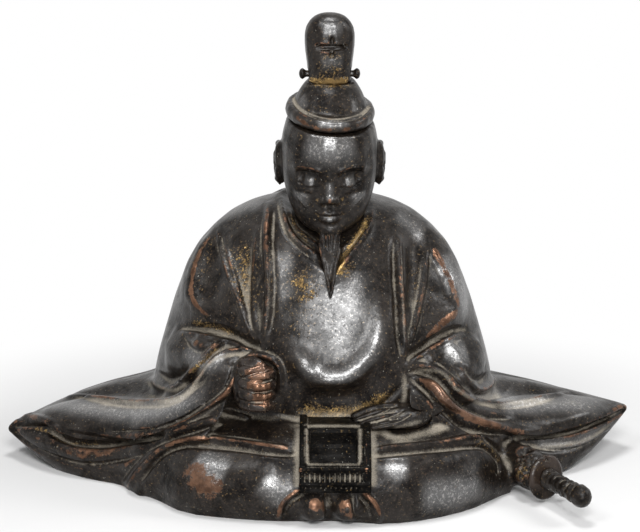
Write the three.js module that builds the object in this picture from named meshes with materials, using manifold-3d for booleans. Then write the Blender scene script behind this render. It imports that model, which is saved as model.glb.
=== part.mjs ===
// A seated court figure in patinated bronze, cast in hollow sections and brazed together.
// Millimetres, +Z up. The figure faces -Y and sits on the plane z = 0; its own right hand is at -X.
import * as THREE from "three";
import { mergeVertices } from "three/addons/utils/BufferGeometryUtils.js";
import Module from "manifold-3d";

const wasm = await Module();
wasm.setup();

// Overall sizes of the robe, and the size that the outlines below are drawn at
const robe = { width: 208, depth: 100, height: 92 };
const drawn = { width: 208, depth: 100, height: 92 };

// Casting and fitting
const wall = 4.2; // thickness of the hollow castings
const seam = 0.3; // clearance left between two castings
const bodyAxis = 1.4; // the trunk sits a little to the figure's left of the sleeves' middle

// Head and neck
const head = { x: 3.5, y: -5.5, z: 109.5, tilt: 13, width: 31, height: 47, depth: 36 };
const neck = { width: 18, depth: 17, tenonRadius: 7, tenonLength: 14 };
const neckBoss = { wall: 3.6, height: 14 };
const neckline = { room: 3.5, front: 5.5, depth: 11 };
const neckPin = { radius: 1.5, length: 19 };
const beard = { width: 8.4, length: 19, thickness: 4.4 };
const ear = { height: 16, width: 3.2, depth: 7.5, middle: -5.5 };

// Court cap: skull cap with a rolled brow band, upright crest and hairpin
const cap = { brow: 9.8, setBack: 1.5, width: 28, depth: 32, roll: 4.8, dome: 7, tilt: -4, lean: 4 };
const crest = { width: 15.8, depth: 11.5, height: 21.8, footWidth: 13.8, back: 3, tenonRadius: 3.4 };
const crestSlit = { width: 8.8, height: 0.9, depth: 1.6, drop: 10.2 };
const hairpin = { radius: 1.1, reach: 1.6, knob: 1.9, lift: 2.2 };

// Hands
const fist = { x: -20, y: -33.5, z: 39.6, width: 13.5, height: 17.5, fingerRadius: 2.1 };
const palm = { x: 25, y: -32, z: 28.6, length: 23, width: 12.5, fingerRadius: 1.75 };
const wristRadius = 3.6; // both hands end in a wrist that seats in its sleeve

// Sword hilt and guard, with a tang that seats in the boss of the left sleeve
const sword = { x: 71.6, y: -31.5, z: 8.9, turn: 27.5, rise: 1 };
const guard = { width: 12.6, height: 15, thickness: 2.2 };
const grip = { radius: 3.3, length: 17.5, wraps: 6, wrapLift: 0.35 };
const pommel = { radius: 3.7, length: 4.6 };
const tang = { width: 3.2, height: 4.4, length: 10 };
const swordBossLength = 21; // reaches back from the guard into the sleeve

// Ornamental sash that hangs over the lap
const sash = { x: 5.2, width: 22, top: 28, drop: 14.6, border: 2.2, lift: 1.4 };
const fringe = { strands: 11, height: 5.2, band: 1.2, gap: 0.55 };

const scale = new THREE.Vector3(
  robe.width / drawn.width,
  robe.depth / drawn.depth,
  robe.height / drawn.height,
);
const at = (x, y, z) => new THREE.Vector3(x, y, z).multiply(scale);
const placed = (piece) => at(piece.x, piece.y, piece.z);
const radians = THREE.MathUtils.degToRad;

// Curves and skins

// Smooth value, at t from 0 to 1, of a list of numbers spaced evenly
function smoothAt(values, t) {
  return new THREE.SplineCurve(values.map((v) => new THREE.Vector2(v, 0))).getPoint(t).x;
}

// Closed body through rings of points, each ring closed by a fan at the two ends
function skin(rings) {
  const around = rings[0].length;
  const centre = (ring) =>
    ring.reduce((sum, p) => sum.add(p), new THREE.Vector3()).divideScalar(around);
  const points = [...rings.flat(), centre(rings[0]), centre(rings.at(-1))];
  const faces = [];
  for (let r = 0; r + 1 < rings.length; r++)
    for (let i = 0; i < around; i++) {
      const a = r * around + i;
      const b = r * around + ((i + 1) % around);
      faces.push(a, b, b + around, a, b + around, a + around);
    }
  const last = (rings.length - 1) * around;
  for (let i = 0; i < around; i++) {
    const next = (i + 1) % around;
    faces.push(points.length - 2, next, i, points.length - 1, last + i, last + next);
  }
  return facingOut(shell(points, faces));
}

function shell(points, faces) {
  const geometry = new THREE.BufferGeometry().setFromPoints(points);
  geometry.setIndex(faces);
  return geometry;
}

// Turns the faces round where they point inwards
function facingOut(geometry) {
  const p = geometry.attributes.position;
  const index = geometry.index.array;
  const corner = (i) => new THREE.Vector3().fromBufferAttribute(p, index[i]);
  let volume = 0;
  for (let i = 0; i < index.length; i += 3) {
    volume += corner(i).dot(corner(i + 1).cross(corner(i + 2)));
  }
  if (volume < 0)
    for (let i = 0; i < index.length; i += 3) [index[i], index[i + 1]] = [index[i + 1], index[i]];
  return geometry;
}

// Loft through stations. Each station is a closed outline of control points, all with as many points.
function loft(stations, perPoint, steps) {
  const guides = stations[0].map(
    (_, i) => new THREE.CatmullRomCurve3(stations.map((s) => s[i]), false, "centripetal"),
  );
  const rings = [];
  for (let j = 0; j <= steps; j++) {
    const outline = guides.map((guide) => guide.getPoint(j / steps));
    const ring = new THREE.CatmullRomCurve3(outline, true, "centripetal");
    const count = outline.length * perPoint;
    rings.push(Array.from({ length: count }, (_, i) => ring.getPoint(i / count)));
  }
  return skin(rings);
}

// Round bar along a smooth path, with a radius for each point and domed ends
function bar(path, radii, sides = 8, steps = 6) {
  const curve = new THREE.CatmullRomCurve3(path, false, "centripetal");
  const frames = curve.computeFrenetFrames(steps, false);
  const ringAt = (t, frame, radius, push) =>
    Array.from({ length: sides }, (_, i) => {
      const angle = (i / sides) * Math.PI * 2;
      return curve
        .getPointAt(t)
        .addScaledVector(frames.normals[frame], Math.cos(angle) * radius)
        .addScaledVector(frames.binormals[frame], Math.sin(angle) * radius)
        .addScaledVector(frames.tangents[frame], push);
    });
  const rings = [];
  for (let j = 0; j <= steps; j++) rings.push(ringAt(j / steps, j, smoothAt(radii, j / steps), 0));
  const first = radii[0];
  const last = radii.at(-1);
  rings.unshift(ringAt(0, 0, first * 0.5, -first * 0.8));
  rings.push(ringAt(1, steps, last * 0.5, last * 0.8));
  return skin(rings);
}

// Moves one point of a surface along its normal
function pushOut(geometry, i, distance) {
  const { position, normal } = geometry.attributes;
  const point = new THREE.Vector3().fromBufferAttribute(position, i);
  point.addScaledVector(new THREE.Vector3().fromBufferAttribute(normal, i), distance);
  position.setXYZ(i, point.x, point.y, point.z);
}

// Pushes a surface out (lift > 0) or in along fold lines drawn in the front view as [x, z] points,
// on its front or, with behind, on its back
function fold(geometry, lines) {
  geometry.computeVertexNormals();
  const p = geometry.attributes.position;
  const n = geometry.attributes.normal;
  const curves = lines.map(({ path, width, lift, behind = false }) => ({
    points: new THREE.CatmullRomCurve3(path.map(([x, z]) => at(x, 0, z))).getPoints(24),
    width,
    lift,
    outward: behind ? 1 : -1,
  }));
  for (let i = 0; i < p.count; i++) {
    let push = 0;
    for (const { points, width, lift, outward } of curves) {
      const facing = THREE.MathUtils.clamp(outward * n.getY(i) * 3, 0, 1);
      if (facing === 0) continue;
      const gaps = points.map((q) => Math.hypot(q.x - p.getX(i), q.z - p.getZ(i)));
      const nearest = Math.min(...gaps);
      const along = gaps.indexOf(nearest) / (gaps.length - 1);
      if (nearest > width) continue;
      const fade = Math.sqrt(Math.sin(Math.PI * THREE.MathUtils.clamp(along, 0.06, 0.94)));
      push += lift * facing * fade * (0.5 + 0.5 * Math.cos((Math.PI * nearest) / width));
    }
    pushOut(geometry, i, push);
  }
  return geometry;
}

// Solids

function solid(geometry) {
  const bare = geometry.index ? geometry.toNonIndexed() : geometry.clone();
  bare.deleteAttribute("normal");
  bare.deleteAttribute("uv");
  const merged = mergeVertices(bare, 1e-4);
  return new wasm.Manifold(
    new wasm.Mesh({
      numProp: 3,
      vertProperties: merged.attributes.position.array,
      triVerts: new Uint32Array(merged.index.array),
    }),
  );
}

function geometryOf(made) {
  const mesh = made.getMesh();
  const geometry = new THREE.BufferGeometry();
  geometry.setAttribute("position", new THREE.BufferAttribute(mesh.vertProperties, 3));
  geometry.setIndex(new THREE.BufferAttribute(mesh.triVerts, 1));
  return geometry;
}

const joined = (...solids) => solids.reduce((sum, s) => sum.add(s));
const moved = (made, matrix) => made.transform(matrix.elements);

// A solid grown on all sides by a distance, to cut its neighbour with a clearance
function grown(made, distance = seam) {
  const geometry = geometryOf(made);
  geometry.computeVertexNormals();
  const p = geometry.attributes.position;
  for (let i = 0; i < p.count; i++) pushOut(geometry, i, distance);
  return made.add(solid(geometry));
}

// The largest body of a solid, without the crumbs that a cut can leave
const largest = (made) => made.decompose().reduce((a, b) => (a.volume() > b.volume() ? a : b));

function boxSolid(low, high) {
  const size = new THREE.Vector3().subVectors(high, low);
  const box = new THREE.BoxGeometry(size.x, size.y, size.z);
  box.translate((low.x + high.x) / 2, (low.y + high.y) / 2, (low.z + high.z) / 2);
  return solid(box);
}

// Everything under the floor plane, which trims the foot of each robe casting flat
const underFloor = boxSolid(at(-150, -100, -40), at(150, 100, 0));

function ellipsoid(centre, radii, turns = 16, rows = 10) {
  const ball = new THREE.SphereGeometry(1, turns, rows);
  ball.scale(radii.x, radii.y, radii.z);
  ball.translate(centre.x, centre.y, centre.z);
  return solid(ball);
}

// Trunk of the robe: rings from the floor to the collar
// flank: half width and height; front and back: depth and height on the middle line;
// middle: depth of the flanks
const trunkRings = [
  { flank: [55.5, -4], front: [-18, -4], back: [50, -4], middle: 14 },
  { flank: [57, 15], front: [-23, 14], back: [49, 16], middle: 14 },
  { flank: [55.5, 31], front: [-30, 29], back: [47.5, 34], middle: 14 },
  { flank: [51.6, 46], front: [-31.5, 42], back: [45, 50], middle: 14 },
  { flank: [46.8, 61], front: [-27, 55], back: [40.5, 65], middle: 13 },
  { flank: [39.4, 76], front: [-23, 66], back: [33.5, 78], middle: 12 },
  { flank: [27, 87], front: [-20.5, 74], back: [25.5, 87.5], middle: 8 },
  { flank: [13.5, 91], front: [-17, 79], back: [18, 92], middle: 3 },
];
const armFolds = [
  // edges of the chest's cloth, and the grooves between them and the arms
  { path: [[-14, 88], [-15.5, 73], [-16, 60], [-17, 49]], width: 4.5, lift: 1.7 },
  { path: [[23.5, 86], [25, 73], [26, 60], [27, 46]], width: 4.5, lift: 1.5 },
  { path: [[-21, 86], [-22.5, 74], [-22, 62], [-19.5, 50]], width: 6, lift: -2.4 },
  { path: [[30.5, 83], [31, 71], [30.5, 58], [29, 47]], width: 6, lift: -2.4 },
  // panels that sink inside the outer edges of the arms, and those edges
  { path: [[-30, 83], [-33, 73], [-34.5, 65], [-32, 57]], width: 6.5, lift: -2.2 },
  { path: [[33.5, 79], [35.5, 70], [36, 62], [35, 55]], width: 5.5, lift: -1.6 },
  { path: [[-32, 88], [-38.5, 78], [-41, 67], [-39.5, 59], [-33, 55]], width: 5.5, lift: 2.4 },
  { path: [[31, 87], [37.5, 79], [42, 70], [44.5, 61], [42, 54]], width: 5.5, lift: 2.4 },
  // creases under the arms, and the slack of the cloth below them
  { path: [[-46, 50], [-37, 52], [-28, 52], [-18, 50]], width: 5, lift: -2.4 },
  { path: [[49, 50], [40, 51], [33, 49], [27, 46]], width: 5, lift: -2.4 },
];
const chestFolds = [
  // the roll of cloth over the belly, and the hollow under it
  { path: [[-10, 58], [-6, 45], [4, 41], [15, 45], [20.5, 58]], width: 8, lift: 2.9 },
  { path: [[-5, 68], [-1, 57], [6, 53], [12, 57], [15.5, 68]], width: 8, lift: 1.3 },
  { path: [[-12, 43], [-4, 36.5], [5, 34.5], [13.5, 37], [21, 45]], width: 5.5, lift: -1.5 },
];
const backFolds = [
  // the seam down the back, the yoke, and the folds that fall from the shoulders
  { path: [[1, 90], [1, 60], [0.5, 30], [0, -4]], width: 5.5, lift: -1.3 },
  { path: [[-30, 80], [-15, 71], [1, 68.5], [18, 71], [33, 80]], width: 5, lift: 1.4 },
  ...[
    { at: [[-9, 62], [-11, 42], [-16, 20], [-20, -4]], width: 5.5, lift: 1.5 },
    { at: [[-16, 64], [-19, 44], [-26, 20], [-31, -4]], width: 5.5, lift: -1.5 },
    { at: [[-24, 70], [-28, 46], [-36, 20], [-41, -4]], width: 6, lift: 1.8 },
    { at: [[-35, 80], [-43, 60], [-47, 42], [-46, 20], [-47, -4]], width: 5.5, lift: -2 },
  ].flatMap(({ at: line, width, lift }) =>
    [1, -1].map((side) => ({
      path: line.map(([x, z]) => [bodyAxis + side * (x - bodyAxis), z]),
      width,
      lift,
    })),
  ),
].map((line) => ({ ...line, behind: true }));
const trunkFolds = [...armFolds, ...chestFolds, ...backFolds];
// Collar: half of it round the back of the neck, then its two front edges down to where they cross
const collarBack = [[2, 18, 92], [9.4, 14.5, 92], [14, 5, 90.4]];
const collarFront = {
  right: [[-10.6, 87], [-8, 81.5], [-3.4, 76], [4.6, 71]],
  left: [[16.2, 86], [13.4, 80.5], [9, 76], [4.6, 71]],
};
const collarRoll = 1.7;
const trunkCorner = 2.2; // 2 makes each ring an ellipse, more makes it squarer

function trunkSkin(inset, across, behind, steps) {
  const list = (pick) => trunkRings.map(pick);
  const rings = [];
  for (let j = 0; j <= steps; j++) {
    const t = j / steps;
    const value = (pick) => smoothAt(list(pick), t);
    const ring = [];
    for (let i = 0; i < across + behind; i++) {
      const inFront = i < across;
      const turn = inFront ? Math.PI + (Math.PI * i) / across : (Math.PI * (i - across)) / behind;
      const power = 2 / trunkCorner;
      const c = Math.sign(Math.cos(turn)) * Math.abs(Math.cos(turn)) ** power;
      const s = Math.sign(Math.sin(turn)) * Math.abs(Math.sin(turn)) ** power;
      const middle = value((r) => r.middle);
      const end = inFront ? value((r) => r.front[0]) : value((r) => r.back[0]);
      const endHeight = inFront ? value((r) => r.front[1]) : value((r) => r.back[1]);
      const flankHeight = value((r) => r.flank[1]);
      const reach = Math.abs(end - middle);
      const p = at(
        bodyAxis + value((r) => r.flank[0]) * c,
        middle + reach * s,
        flankHeight + (endHeight - flankHeight) * s * s,
      );
      const inward = new THREE.Vector3(-c, -s, -0.6 * t).setLength(inset);
      ring.push(inset ? p.add(inward) : p);
    }
    rings.push(ring);
  }
  return skin(rings);
}

// Sleeves: outlines across a sleeve from the elbow to the tip, as [depth, height] points that run
// from the back hem over the top to the front hem. out is the distance from the middle of the
// figure. slant turns an outline towards the wrist, and hang lets its foot trail outwards, as the
// open edge of the sleeve does.
const sleeveOutlines = [
  {
    out: 33, slant: 0.36, hang: 0.7,
    points: [
      [20, -2], [22, 15], [16, 34], [0, 43], [-14, 46.5],
      [-23, 47.5], [-30, 46], [-35, 40.5], [-33, 36], [-36.5, 30],
      [-35, 20], [-24, -2],
    ],
  },
  {
    out: 41, slant: 0.28, hang: 0.55,
    points: [
      [30, -2], [30, 16], [23, 32], [5, 39], [-9, 37.8],
      [-18, 39.2], [-25.6, 36.8], [-31, 30.7], [-27, 26.8], [-31.8, 22],
      [-30, 12], [-23, -2],
    ],
  },
  {
    out: 50, slant: 0.14, hang: 0.35,
    points: [
      [36, -2], [34, 15], [28, 27], [9, 29], [-3.5, 25.4],
      [-10.5, 28.6], [-18.4, 27.2], [-24, 21.8], [-19, 17.6], [-23.8, 14.2],
      [-23, 7], [-19, -2],
    ],
  },
  {
    out: 61, slant: 0.04, hang: 0.14,
    points: [
      [42, -2], [39, 12], [32, 22], [19, 24.6], [8, 21.4],
      [2.5, 24.4], [-8.4, 22.9], [-15.4, 17.6], [-10.5, 13.8], [-15.6, 11],
      [-15.8, 5], [-14, -2],
    ],
  },
  {
    out: 74,
    points: [
      [41, -2], [38, 10], [31, 19], [22, 21.2], [15.5, 19],
      [11, 21.6], [-0.4, 20.9], [-9, 16.1], [-5, 12.3], [-10.2, 9.6],
      [-11, 4.6], [-9, -2],
    ],
  },
  {
    out: 88,
    points: [
      [33, 0], [31, 7.8], [26.6, 14.8], [19.5, 16.8], [16, 16.4],
      [12.5, 18.3], [4, 18.7], [-2.6, 16], [0.4, 13.1], [-3, 10.8],
      [-3.4, 5.6], [0.5, 0.6],
    ],
  },
  {
    out: 97,
    points: [
      [22.5, 5], [22.5, 8.4], [20, 11.8], [16, 13.6], [13, 14],
      [10, 14], [7, 13.4], [5.2, 12.2], [6.4, 10.8], [5, 9.4],
      [5.4, 6.8], [9, 4.4],
    ],
  },
  {
    out: 103.7,
    points: [
      [13, 9.4], [13.1, 9.9], [12.8, 10.4], [12.3, 10.7], [11.9, 10.8],
      [11.5, 10.7], [11.2, 10.5], [11, 10.2], [11.1, 10], [11.2, 9.7],
      [11.6, 9.4], [12.3, 9.2],
    ],
  },
];
// side: -1 is the figure's right; tip: how much farther back and higher that tip ends than drawn
const sleeves = {
  right: {
    side: -1,
    tipBack: 0,
    tipRise: 0,
    cuffDrop: 0,
    cuffOut: 0,
    trail: 1,
    elbow: [-40, -1, 41],
    wrist: [-25, -26, 39.5],
  },
  left: {
    side: 1,
    tipBack: 6,
    tipRise: 5.4,
    cuffDrop: 9,
    cuffOut: 6,
    trail: 0.66,
    elbow: [44, -1, 39],
    wrist: [34, -25.5, 31],
  },
};
const forearm = { elbow: 11, wrist: 8.5 };
const outOfWay = 60; // how far out a sleeve starts to lift towards its tip
const cuff = { top: 47, trailFrom: 45, ahead: 24 }; // heights, and how far ahead it trails in full
const foldDepth = 1.6; // metal left over the hollow where a fold sinks in

function sleeveStations({ side, tipBack, tipRise, cuffDrop, cuffOut, trail }) {
  const reach = sleeveOutlines.at(-1).out - outOfWay;
  return sleeveOutlines.map(({ out, slant = 0, hang = 0, points }) => {
    const near = Math.max(0, outOfWay - out) / (outOfWay - sleeveOutlines[0].out);
    const far = Math.max(0, (out - outOfWay) / reach) ** 2;
    return points.map(([y, z]) => {
      const forward = THREE.MathUtils.clamp(-y / cuff.ahead, 0, 1);
      const trailing = trail * hang * (cuff.trailFrom - z) * forward;
      const across = out + slant * Math.min(y, 0) + trailing + cuffOut * near;
      const height = z * (1 - (cuffDrop / cuff.top) * near) + tipRise * far;
      return at(side * across, y + tipBack * far, height);
    });
  });
}

function sleeveSolid(form) {
  const wing = solid(loft(sleeveStations(form), 2, 15));
  const [elbow, wrist] = [form.elbow, form.wrist].map((p) => at(...p));
  const middle = elbow.clone().lerp(wrist, 0.5).add(at(form.side * 2.5, 0, 1.5));
  const radii = [forearm.elbow, (forearm.elbow + forearm.wrist) / 2, forearm.wrist];
  const arm = bar([elbow, middle, wrist], radii, 10, 4);
  return joined(wing, solid(arm)).subtract(underFloor);
}

// The space inside a sleeve, open at the foot
function sleeveHollow(form) {
  const inside = sleeveStations(form).slice(2, 6).map((station, i, all) => {
    const depths = station.map((p) => p.y);
    const middle = (Math.max(...depths) + Math.min(...depths)) / 2;
    const half = Math.max(...depths) - middle;
    const height = Math.max(...station.map((p) => p.z));
    const nudge = i === 0 ? wall : i === all.length - 1 ? -wall : 0;
    return station.map((p) => {
      const y = middle + (p.y - middle) * (1 - (wall + foldDepth) / half);
      const z = p.z < wall ? -wall : p.z * (1 - (wall + foldDepth) / height);
      return new THREE.Vector3(p.x + form.side * nudge, y, z);
    });
  });
  return solid(loft(inside, 1, 4));
}

// Lap and crossed legs: outlines across the lap, as [depth, height] points that run from the
// hidden back foot over the top to the front foot
const lapOutlines = [
  {
    across: -60.5,
    points: [
      [-8, -2], [-8, 4], [-10, 6], [-13, 6], [-16, 5],
      [-18, 4], [-20, 3], [-21.8, 1.5], [-21.5, -2],
    ],
  },
  {
    across: -53.5,
    points: [
      [0, -2], [0, 16], [-9, 18.6], [-14, 17.4], [-19, 14.6],
      [-21.5, 11.6], [-24.4, 10], [-27, 5], [-25, -2],
    ],
  },
  {
    across: -42,
    points: [
      [-1, -2], [-1, 22], [-16, 26], [-24.5, 24.4], [-30.5, 22],
      [-33, 19.2], [-36.4, 18.4], [-41.8, 9.5], [-38, -2],
    ],
  },
  {
    across: -28,
    points: [
      [-4, -2], [-4, 24], [-20, 28], [-29, 25.4], [-35, 23.6],
      [-37.3, 21], [-40.8, 20.4], [-46.6, 10.5], [-43, -2],
    ],
  },
  {
    across: -12,
    points: [
      [-6, -2], [-6, 24], [-22, 28], [-34, 26.4], [-41.5, 24.2],
      [-43.6, 21.6], [-45.8, 20.6], [-49.4, 10.5], [-45.6, -2],
    ],
  },
  {
    across: 5,
    points: [
      [-8, -2], [-8, 24], [-24, 27.4], [-36, 26.4], [-44.5, 24],
      [-46.6, 22], [-48, 19], [-48.8, 10], [-45.4, -2],
    ],
  },
  {
    across: 20,
    points: [
      [-8, -2], [-8, 24], [-24, 28], [-36, 26.4], [-43.4, 23.8],
      [-45.4, 21.4], [-47.4, 20.4], [-51, 10.5], [-48, -2],
    ],
  },
  {
    across: 34,
    points: [
      [-6, -2], [-6, 24], [-20, 27.6], [-32, 26], [-40, 23.2],
      [-42, 20.8], [-44.4, 19.8], [-48, 10], [-44, -2],
    ],
  },
  {
    across: 48,
    points: [
      [-4, -2], [-4, 23], [-16, 26], [-26, 24.6], [-32.4, 21.8],
      [-34.2, 19.2], [-36.8, 18], [-39.8, 9], [-35, -2],
    ],
  },
  {
    across: 57,
    points: [
      [-4, -2], [-4, 16], [-11, 18.6], [-17, 17.6], [-22.2, 15],
      [-24, 12.6], [-26.2, 10.8], [-28.2, 5.4], [-24.5, -2],
    ],
  },
  {
    across: 62,
    points: [
      [-8, -2], [-8, 6], [-11, 8], [-14, 8.2], [-17, 7.4],
      [-19, 6], [-21, 4.6], [-22, 2.4], [-20, -2],
    ],
  },
];
const toes = [
  { x: -1.4, y: -48.6, z: 5.4, radii: [4.8, 4.4, 4.8] },
  { x: 9, y: -49, z: 5.6, radii: [4.6, 4.6, 4.8] },
];

function lapSolid() {
  const stations = lapOutlines.map(({ across, points }) =>
    points.map(([y, z]) => at(across, y, z)),
  );
  const legs = solid(loft(stations, 2, 22));
  const feet = toes.map((toe) => ellipsoid(placed(toe), new THREE.Vector3(...toe.radii), 10, 7));
  return joined(legs, ...feet).subtract(underFloor);
}

// The space under the lap, open at the foot and towards the trunk
function lapHollow() {
  const kept = lapOutlines.slice(2, -2).map(({ across, points }) => {
    const front = Math.max(...points.slice(5, 8).map(([y]) => y)) + wall + foldDepth;
    const top = points[4][1] - wall - foldDepth;
    const outline = [[-10, -wall], [-10, top], [front + wall, top], [front, top - wall], [front, -wall]];
    return outline.map(([y, z]) => at(across, y, z));
  });
  return solid(loft(kept, 1, 6));
}

// Head, in its own frame: the face looks along -Y before the head is tilted
// Each ring has a height, a half width and the depths of the face and the back of the skull, all as
// shares of the head
const headRings = [
  { z: -0.5, side: 0.1, face: -0.36, back: -0.2 },
  { z: -0.475, side: 0.25, face: -0.43, back: -0.08 },
  { z: -0.4, side: 0.36, face: -0.455, back: 0.04 },
  { z: -0.3, side: 0.43, face: -0.45, back: 0.16 },
  { z: -0.18, side: 0.475, face: -0.45, back: 0.3 },
  { z: -0.04, side: 0.495, face: -0.45, back: 0.42 },
  { z: 0.08, side: 0.485, face: -0.47, back: 0.47 },
  { z: 0.18, side: 0.45, face: -0.45, back: 0.45 },
  { z: 0.3, side: 0.4, face: -0.4, back: 0.42 },
];
// Soft bumps on the face, as shares of the head: across, height, reach across, reach up, push
const faceForms = [
  { x: 0, z: -0.2, wide: 0.07, tall: 0.07, push: 0.085 },
  { x: 0, z: -0.11, wide: 0.055, tall: 0.09, push: 0.045 },
  { x: 0.08, z: -0.235, wide: 0.05, tall: 0.035, push: 0.03 },
  { x: 0.19, z: -0.09, wide: 0.12, tall: 0.055, push: -0.04 },
  { x: 0.19, z: -0.085, wide: 0.085, tall: 0.03, push: 0.03 },
  { x: 0.18, z: -0.01, wide: 0.16, tall: 0.035, push: 0.022 },
  { x: 0, z: -0.315, wide: 0.11, tall: 0.024, push: 0.028 },
  { x: 0, z: -0.36, wide: 0.1, tall: 0.026, push: 0.022 },
  { x: 0, z: -0.336, wide: 0.13, tall: 0.011, push: -0.02 },
  { x: 0, z: -0.45, wide: 0.12, tall: 0.05, push: 0.03 },
];

function skullSkin() {
  const steps = 19;
  const around = 26;
  const rings = [];
  for (let j = 0; j <= steps; j++) {
    const value = (key) => smoothAt(headRings.map((r) => r[key]), j / steps);
    const z = value("z");
    const ring = [];
    for (let i = 0; i < around; i++) {
      const even = (i / around) * Math.PI * 2;
      const turn = even + 0.32 * Math.cos(even); // crowds the points towards the face
      const x = value("side") * Math.cos(turn);
      const middle = (value("face") + value("back")) / 2;
      const reach = (value("back") - value("face")) / 2;
      let y = middle + reach * Math.sin(turn);
      if (Math.sin(turn) < 0)
        for (const form of faceForms) {
          const near = Math.min(Math.abs(x - form.x), Math.abs(x + form.x));
          y -= form.push * Math.exp(-((near / form.wide) ** 2) - ((z - form.z) / form.tall) ** 2);
        }
      ring.push(new THREE.Vector3(x * head.width, y * head.depth, z * head.height));
    }
    rings.push(ring);
  }
  return skin(rings);
}

const headFrame = new THREE.Group();
headFrame.position.set(head.x * scale.x, head.y * scale.y, head.z - drawn.height + robe.height);
headFrame.rotation.x = radians(head.tilt);
headFrame.updateMatrix();
const toHead = headFrame.matrix.clone().invert();

// Court cap, in a frame of its own at the brow band's lower edge
const capFrame = new THREE.Group();
capFrame.position.set(0, cap.setBack, cap.brow);
capFrame.rotation.set(radians(cap.tilt), radians(cap.lean), 0);
capFrame.updateMatrix();

function earSolid(side) {
  const rim = [
    [0.15, 0.1],
    [0.5, 0.42],
    [0.35, 0.92],
    [-0.25, 1],
    [-0.6, 0.62],
    [-0.45, 0.2],
    [-0.2, -0.02],
  ];
  const outline = (grow, out) =>
    rim.map(
      ([y, z]) =>
        new THREE.Vector3(
          side * (head.width * 0.455 + out),
          y * ear.depth * grow + 1.5,
          (z - 0.5) * grow * ear.height + ear.middle,
        ),
    );
  const outlines = [
    outline(0.75, -1.5),
    outline(0.9, ear.width * 0.3),
    outline(1, ear.width * 0.8),
    outline(0.8, ear.width),
  ];
  return solid(loft(outlines, 1, 4));
}

// The beard hangs from the chin and lies on the chest
function beardSolid() {
  const root = new THREE.Vector3(0, -0.4 * head.depth, -0.44 * head.height).applyMatrix4(headFrame.matrix);
  const tip = new THREE.Vector3(root.x + 0.4, root.y - 7.2 * scale.y, root.z - beard.length);
  const path = [root.clone().add(new THREE.Vector3(0, 2, 3)), root.clone().lerp(tip, 0.4), tip];
  const stations = path.map((p, i) => {
    const half = (beard.width / 2) * [1, 0.72, 0.14][i];
    const thick = (beard.thickness / 2) * [1.2, 1, 0.3][i];
    return Array.from({ length: 8 }, (_, k) => {
      const turn = (k / 8) * Math.PI * 2;
      return new THREE.Vector3(p.x + half * Math.cos(turn), p.y + thick * Math.sin(turn), p.z);
    });
  });
  return solid(loft(stations, 1, 5));
}

// Neck and tenon go straight down into the collar, whatever the tilt of the head
const neckFoot = at(head.x, 2.5, 78);
function neckSolid() {
  const top = new THREE.Vector3(0, 0, -0.2 * head.height).applyMatrix4(headFrame.matrix);
  const ring = (p, grow) =>
    Array.from({ length: 8 }, (_, k) => {
      const turn = (k / 8) * Math.PI * 2;
      return new THREE.Vector3(
        p.x + (neck.width / 2) * grow * Math.cos(turn),
        p.y + (neck.depth / 2) * grow * Math.sin(turn),
        p.z,
      );
    });
  const waist = ring(neckFoot.clone().lerp(top, 0.5), 0.96);
  const column = solid(loft([ring(neckFoot, 1.04), waist, ring(top, 1)], 2, 3));
  return column.add(tenonSolid(neck.tenonRadius));
}

function tenonSolid(radius, extra = 0) {
  const rod = new THREE.CylinderGeometry(radius, radius, neck.tenonLength + extra + 2, 16);
  rod.rotateX(Math.PI / 2);
  rod.translate(neckFoot.x, neckFoot.y, neckFoot.z + 1 - (neck.tenonLength + extra) / 2);
  return solid(rod);
}

// The crown is cut off flat where the cap sits on it
const overBrow = boxSolid(new THREE.Vector3(-50, -50, -seam), new THREE.Vector3(50, 50, 50));
const skull = solid(skullSkin()).subtract(moved(overBrow, capFrame.matrix));
const headSolid = joined(
  skull,
  earSolid(-1),
  earSolid(1),
  moved(joined(beardSolid(), neckSolid()), toHead),
);

// Court cap: share of the half width, share of the half depth, shift to the back, height
function capSolid() {
  const top = cap.roll + cap.dome;
  const stations = [
    [0.93, 0.93, 0, 0],
    [0.99, 0.99, 0, cap.roll * 0.14],
    [1.01, 1.01, 0, cap.roll * 0.5],
    [0.97, 0.97, 0, cap.roll * 0.9],
    [0.88, 0.88, 0, cap.roll],
    [0.82, 0.8, 0.6, cap.roll * 0.98],
    [0.74, 0.7, 1.2, cap.roll + cap.dome * 0.35],
    [0.62, 0.56, 2, cap.roll + cap.dome * 0.72],
    [0.5, 0.42, 2.8, top],
  ];
  const rings = [];
  const steps = 14;
  const around = 20;
  for (let j = 0; j <= steps; j++) {
    const value = (k) => smoothAt(stations.map((s) => s[k]), j / steps);
    rings.push(
      Array.from({ length: around }, (_, i) => {
        const turn = (i / around) * Math.PI * 2;
        return new THREE.Vector3(
          (cap.width / 2) * value(0) * Math.cos(turn),
          value(2) + (cap.depth / 2) * value(1) * Math.sin(turn),
          value(3),
        );
      }),
    );
  }
  return solid(skin(rings));
}

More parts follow.
